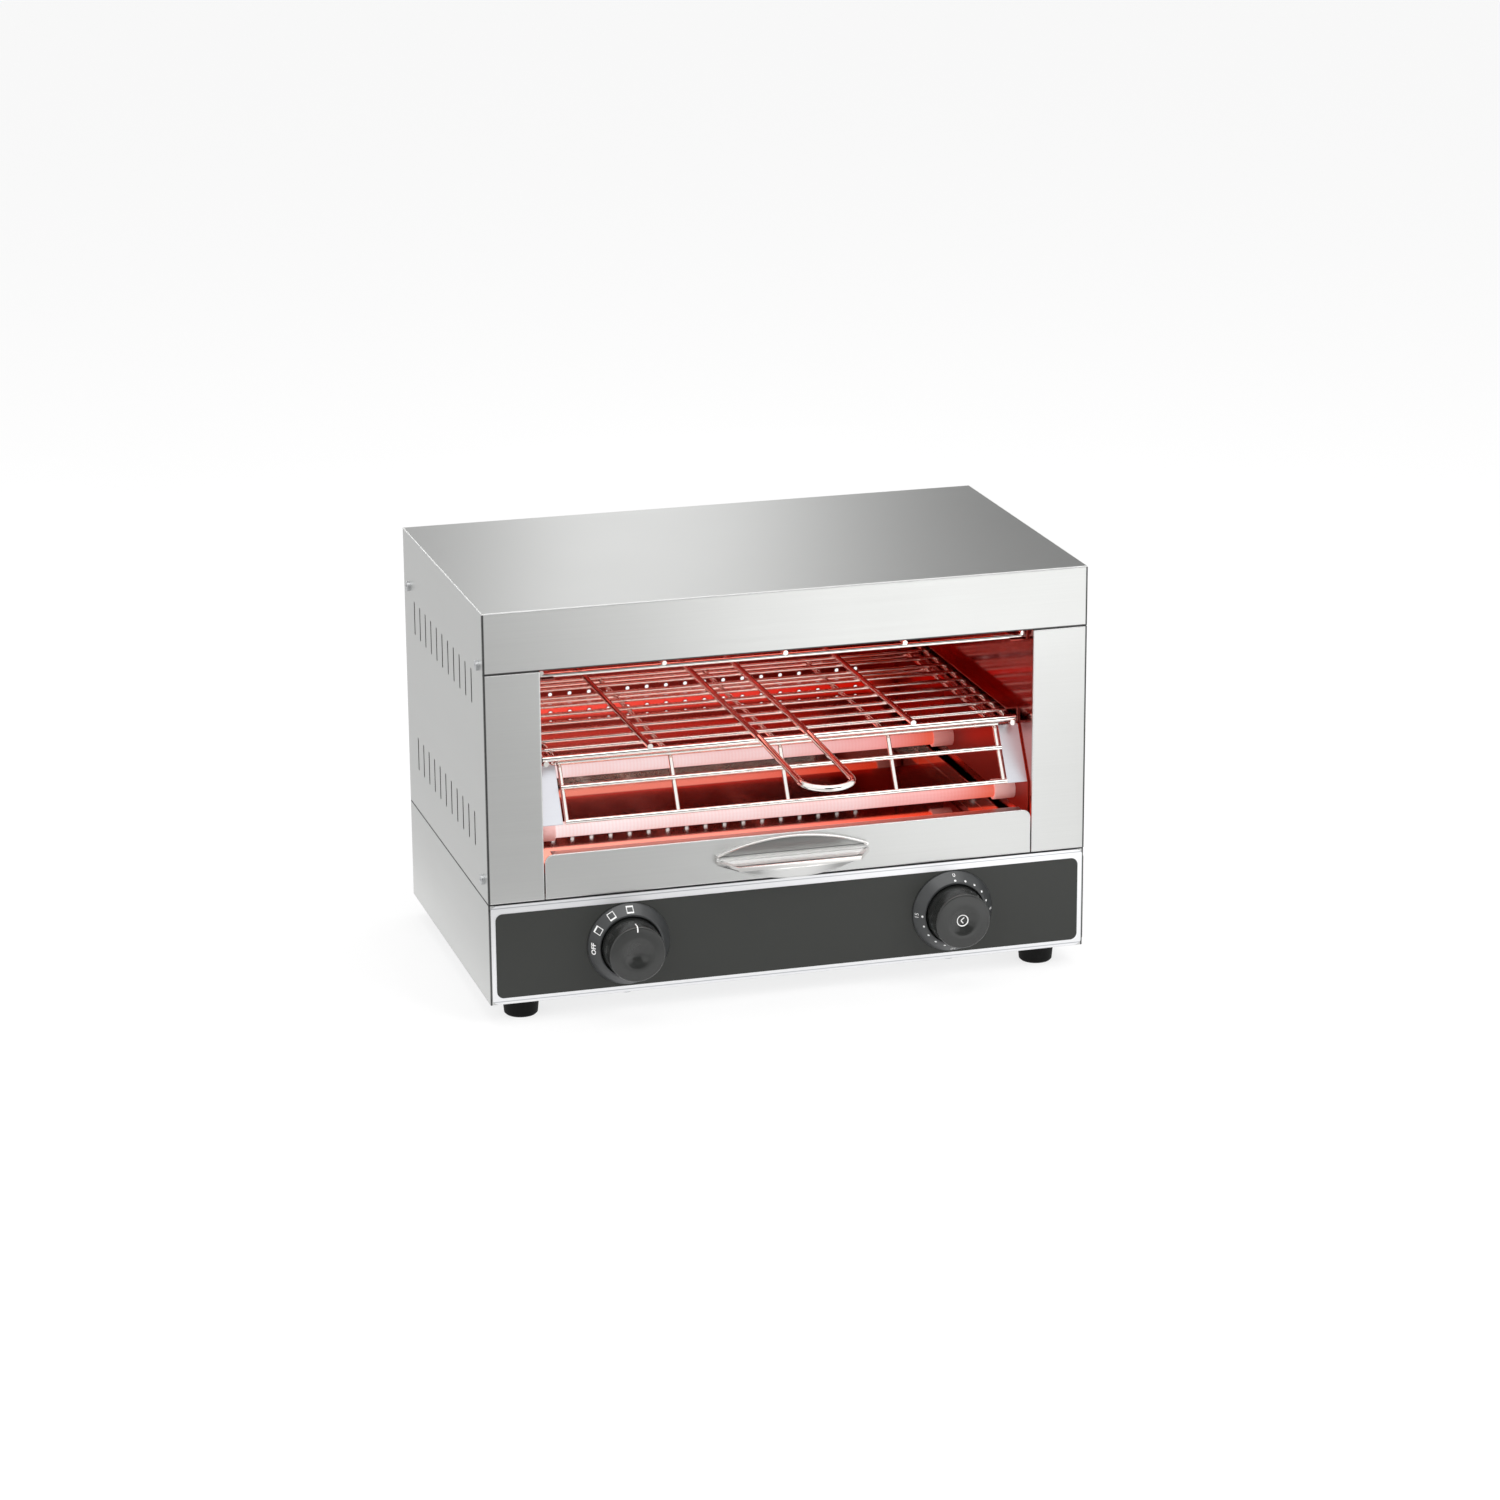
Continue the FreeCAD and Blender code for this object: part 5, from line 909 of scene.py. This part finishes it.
def makeTrayPull():
    p = pull
    low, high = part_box("tray_handle")
    back, tipHeight, lipTop = high.y, low.z + p["tipRise"], low.z + p["lipRise"]
    half, reach = (high.x - low.x) / 2, high.y - low.y
    obj = makeLens("trayPull", low, high, tipHeight, p["tip"])
    bpy.ops.mesh.extrude_region_move(TRANSFORM_OT_translate={"value": (0, -p["plate"], 0)})
    bpy.ops.mesh.bisect(plane_co=(0, 0, lipTop), plane_no=(0, 0, 1))
    front = back - p["plate"]
    pickFaces(obj, lambda face: face.center.z < lipTop and abs(face.center.y - front) < 0.1 * mm)
    # the shelf grows out of the plate's lower half and narrows towards the lip
    heelHalf = half - p["end"] * (p["heel"] - p["side"]) / (reach - p["side"])
    drawOut(p["side"] - p["plate"])
    drawOut(p["heel"] - p["side"], (heelHalf / half, 1, 1))
    drawOut(reach - p["heel"], ((half - p["end"]) / heelHalf, 1, 1))
    lipPlace = back - reach
    pickEdges(obj, lambda ends: all(end.y < lipPlace + 0.1 * mm and end.z < lipTop - 0.1 * mm for end in ends))
    bpy.ops.transform.resize(value=(1, 1, 0), center_override=(0, 0, lipTop - p["lip"]))
    bpy.ops.mesh.select_all(action="SELECT")
    bpy.ops.mesh.normals_make_consistent(inside=False)
    # finger well in the shelf, and a bowl sunk into the plate above it
    pickFaces(obj, lambda face: face.normal.z > 0.9 and abs(face.center.z - lipTop) < 0.1 * mm)
    bpy.ops.mesh.inset(thickness=p["wellEdge"])
    bpy.ops.mesh.extrude_region_move(TRANSFORM_OT_translate={"value": (0, 0, -p["wellDepth"])})
    bpy.ops.transform.resize(value=(0.94, 0.8, 1))
    upright = lambda face: face.normal.y < -0.9 and abs(face.center.y - front) < 0.1 * mm
    pickFaces(obj, lambda face: upright(face) and face.center.z > lipTop)
    bpy.ops.mesh.inset(thickness=p["rim"])
    drawOut(-p["bowlDepth"], (0.975, 1, 0.92), lipTop)
    bpy.ops.object.mode_set(mode="OBJECT")
    roundEdges(obj, p["round"], p["roundSteps"], 26)
    pickFaces(obj, lambda face: face.normal.z < -0.3 and face.normal.y < -0.2 and face.area > 8e-6)
    bpy.ops.mesh.inset(thickness=p["facetInset"])
    bpy.ops.mesh.inset(thickness=p["groove"], depth=-p["groove"])
    bpy.ops.mesh.inset(thickness=p["groove"], depth=p["groove"])
    # a narrow border keeps the big faces flat where they meet the roundings
    wellTop = lipTop - p["wellDepth"] / 2
    isWell = lambda face: face.normal.z > 0.9 and face.center.z < wellTop
    isBowl = lambda face: face.normal.y < -0.9 and face.center.z > lipTop
    pickFaces(obj, lambda face: face.area > p["bigFace"] and (isWell(face) or isBowl(face)))
    bpy.ops.mesh.inset(thickness=p["border"], use_individual=True, use_even_offset=False)
    bpy.ops.object.mode_set(mode="OBJECT")
    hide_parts("tray_handle")
    return settle(obj, "crumb_tray", "chromeCast", angle=32)


def roundEdges(obj, width, steps, angle):
    bevel = obj.modifiers.new("round", "BEVEL")
    bevel.width, bevel.segments = width, steps
    bevel.limit_method, bevel.angle_limit = "ANGLE", radians(angle)
    pick(obj)
    bpy.ops.object.modifier_apply(modifier=bevel.name)


makeTrayPull()
print("tray pull made")


# Stage: floor, backdrop cards, lamps and camera

def makeWorld():
    world = bpy.data.worlds.new("studio")
    bpy.context.scene.world = world
    world.use_nodes = True
    tree = world.node_tree
    tree.nodes.clear()
    rays = addNode(tree, "ShaderNodeLightPath").outputs
    seen = calc(tree, "MAXIMUM", rays["Is Camera Ray"], rays["Is Glossy Ray"])
    seen = calc(tree, "MAXIMUM", seen, rays["Is Transmission Ray"])
    lit = addNode(tree, "ShaderNodeBackground", {"Color": (1, 1, 1, 1), "Strength": 0.75})
    white = addNode(tree, "ShaderNodeBackground", {"Color": (1, 1, 1, 1), "Strength": 1.0})
    mix = addNode(tree, "ShaderNodeMixShader", {0: seen, 1: lit.outputs[0], 2: white.outputs[0]})
    end = addNode(tree, "ShaderNodeOutputWorld")
    tree.links.new(mix.outputs[0], end.inputs["Surface"])


def makeFloor():
    clearSelection()
    bpy.ops.mesh.primitive_plane_add(size=60, location=(0, 0, 0))
    floor = bpy.context.object
    floor.name = "floor"
    material = bpy.data.materials.new("paleFloor")
    material.use_nodes = True
    tree = material.node_tree
    shader = tree.nodes["Principled BSDF"]
    shader.inputs["Base Color"].default_value = (0.90, 0.90, 0.90, 1)
    shader.inputs["Roughness"].default_value = 0.9
    rays = addNode(tree, "ShaderNodeLightPath").outputs
    seen = calc(tree, "MAXIMUM", rays["Is Camera Ray"], rays["Is Glossy Ray"])
    seen = calc(tree, "MAXIMUM", seen, rays["Is Transmission Ray"])
    share = calc(tree, "MULTIPLY", seen, 0.72)
    white = addNode(tree, "ShaderNodeEmission", {"Color": (1, 1, 1, 1), "Strength": 1.03})
    mix = addNode(tree, "ShaderNodeMixShader", {0: share, 1: shader.outputs[0], 2: white.outputs[0]})
    tree.links.new(mix.outputs[0], tree.nodes["Material Output"].inputs["Surface"])
    setMaterial(floor, material)


cards = {
    # name: (centre, width, height, lies flat or stands, tones from left to right), seen only by gloss
    "cardNear": (
        (0.45, -0.525, 0.004), 2.6, 0.55, True,
        [(-0.85, 0.66), (0.02, 0.66), (0.10, 0.98), (0.20, 1.50), (0.29, 1.40), (0.39, 1.12), (1.75, 1.15)],
    ),
    "cardFar": (
        (0.45, -1.75, 0.004), 2.6, 1.9, True,
        [(-0.85, 0.45), (0.0, 0.45), (0.10, 0.66), (0.19, 1.75), (0.28, 2.5), (0.42, 2.15), (1.75, 1.9)],
    ),
    "cardLeft": ((-0.75, 0.75, 0.004), 0.98, 2.1, True, [(-1.24, 0.75), (-0.26, 0.75)]),
    "cardBehind": (
        (0.25, 1.7, 1.1), 3.9, 2.2, False,
        [(-1.7, 0.6), (0.0, 0.47), (0.16, 0.58), (0.29, 1.35), (0.46, 1.12), (0.62, 0.5), (0.78, 0.24), (2.2, 0.3)],
    ),
    "cardBend": ((-0.75, 1.68, 0.82), 0.5, 0.6, False, [(-1.0, 3.4), (-0.5, 3.4)]),
    "cardHigh": ((0.55, -2.0, 0.76), 2.4, 1.28, False, [(-0.65, 0.02), (1.75, 0.02)]),
    "cardAbove": ((0.1, -0.8, 2.0), 2.4, 1.6, True, [(-1.1, 2.4), (1.3, 2.4)]),
}


def makeCards():
    for name, (centre, width, height, flat, tones) in cards.items():
        clearSelection()
        bpy.ops.mesh.primitive_plane_add(size=1, location=centre, rotation=(0 if flat else pi / 2, 0, 0))
        card = bpy.context.object
        card.name = name
        card.scale = (width, height, 1)
        bpy.ops.object.transform_apply(location=True, rotation=True, scale=True)
        material = bpy.data.materials.new(name)
        material.use_nodes = True
        tree = material.node_tree
        tree.nodes.remove(tree.nodes["Principled BSDF"])
        place = addNode(tree, "ShaderNodeTexCoord").outputs["Object"]
        x = addNode(tree, "ShaderNodeSeparateXYZ", {0: place}).outputs[0]
        shade = ramp(tree, x, [(at, tone / 2) for at, tone in tones])
        shine = addNode(tree, "ShaderNodeEmission", {"Color": shade, "Strength": 2.0})
        tree.links.new(shine.outputs[0], tree.nodes["Material Output"].inputs["Surface"])
        setMaterial(card, material)
        card.visible_camera = card.visible_diffuse = card.visible_shadow = False
        card.visible_transmission = card.visible_volume_scatter = False


lamps = {
    # name: (place, size, watts)
    "keyLamp": ((1.1, -1.5, 1.5), 1.3, 26.0),
    "fillLamp": ((-1.5, -1.3, 1.1), 1.5, 12.0),
    "topLamp": ((0.0, 0.3, 2.1), 1.6, 16.0),
}


def makeLamps():
    for name, (place, size, watts) in lamps.items():
        clearSelection()
        bpy.ops.object.light_add(type="AREA", location=place)
        lamp = bpy.context.object
        lamp.name = name
        lamp.data.energy, lamp.data.size = watts, size
        lamp.rotation_euler = (Vector(place) - Vector((0, 0, 0.15))).to_track_quat("Z", "Y").to_euler()
        lamp.visible_glossy = False


shot = {
    "place": (-0.8532, -2.9455, 1.0809), "azimuth": -16.049, "elevation": 16.723,
    "roll": -0.415, "lens": 106.47,
}


def makeCamera():
    turn, rise, roll = radians(shot["azimuth"]), radians(shot["elevation"]), radians(shot["roll"])
    back = Vector((sin(turn) * cos(rise), -cos(turn) * cos(rise), sin(rise)))
    right = Vector((cos(turn), sin(turn), 0))
    up = back.cross(right)
    rolledRight = right * cos(roll) + up * sin(roll)
    rolledUp = up * cos(roll) - right * sin(roll)
    clearSelection()
    bpy.ops.object.camera_add()
    camera = bpy.context.object
    camera.name = "photoCamera"
    matrix = Matrix((rolledRight, rolledUp, back)).transposed().to_4x4()
    matrix.translation = shot["place"]
    camera.matrix_world = matrix
    camera.data.lens, camera.data.sensor_width = shot["lens"], 36.0
    camera.data.clip_start, camera.data.clip_end = 0.05, 100.0
    bpy.context.scene.camera = camera


makeWorld()
makeFloor()
makeCards()
makeLamps()
makeCamera()
bpy.context.scene.view_settings.view_transform = "Standard"
print("stage made")
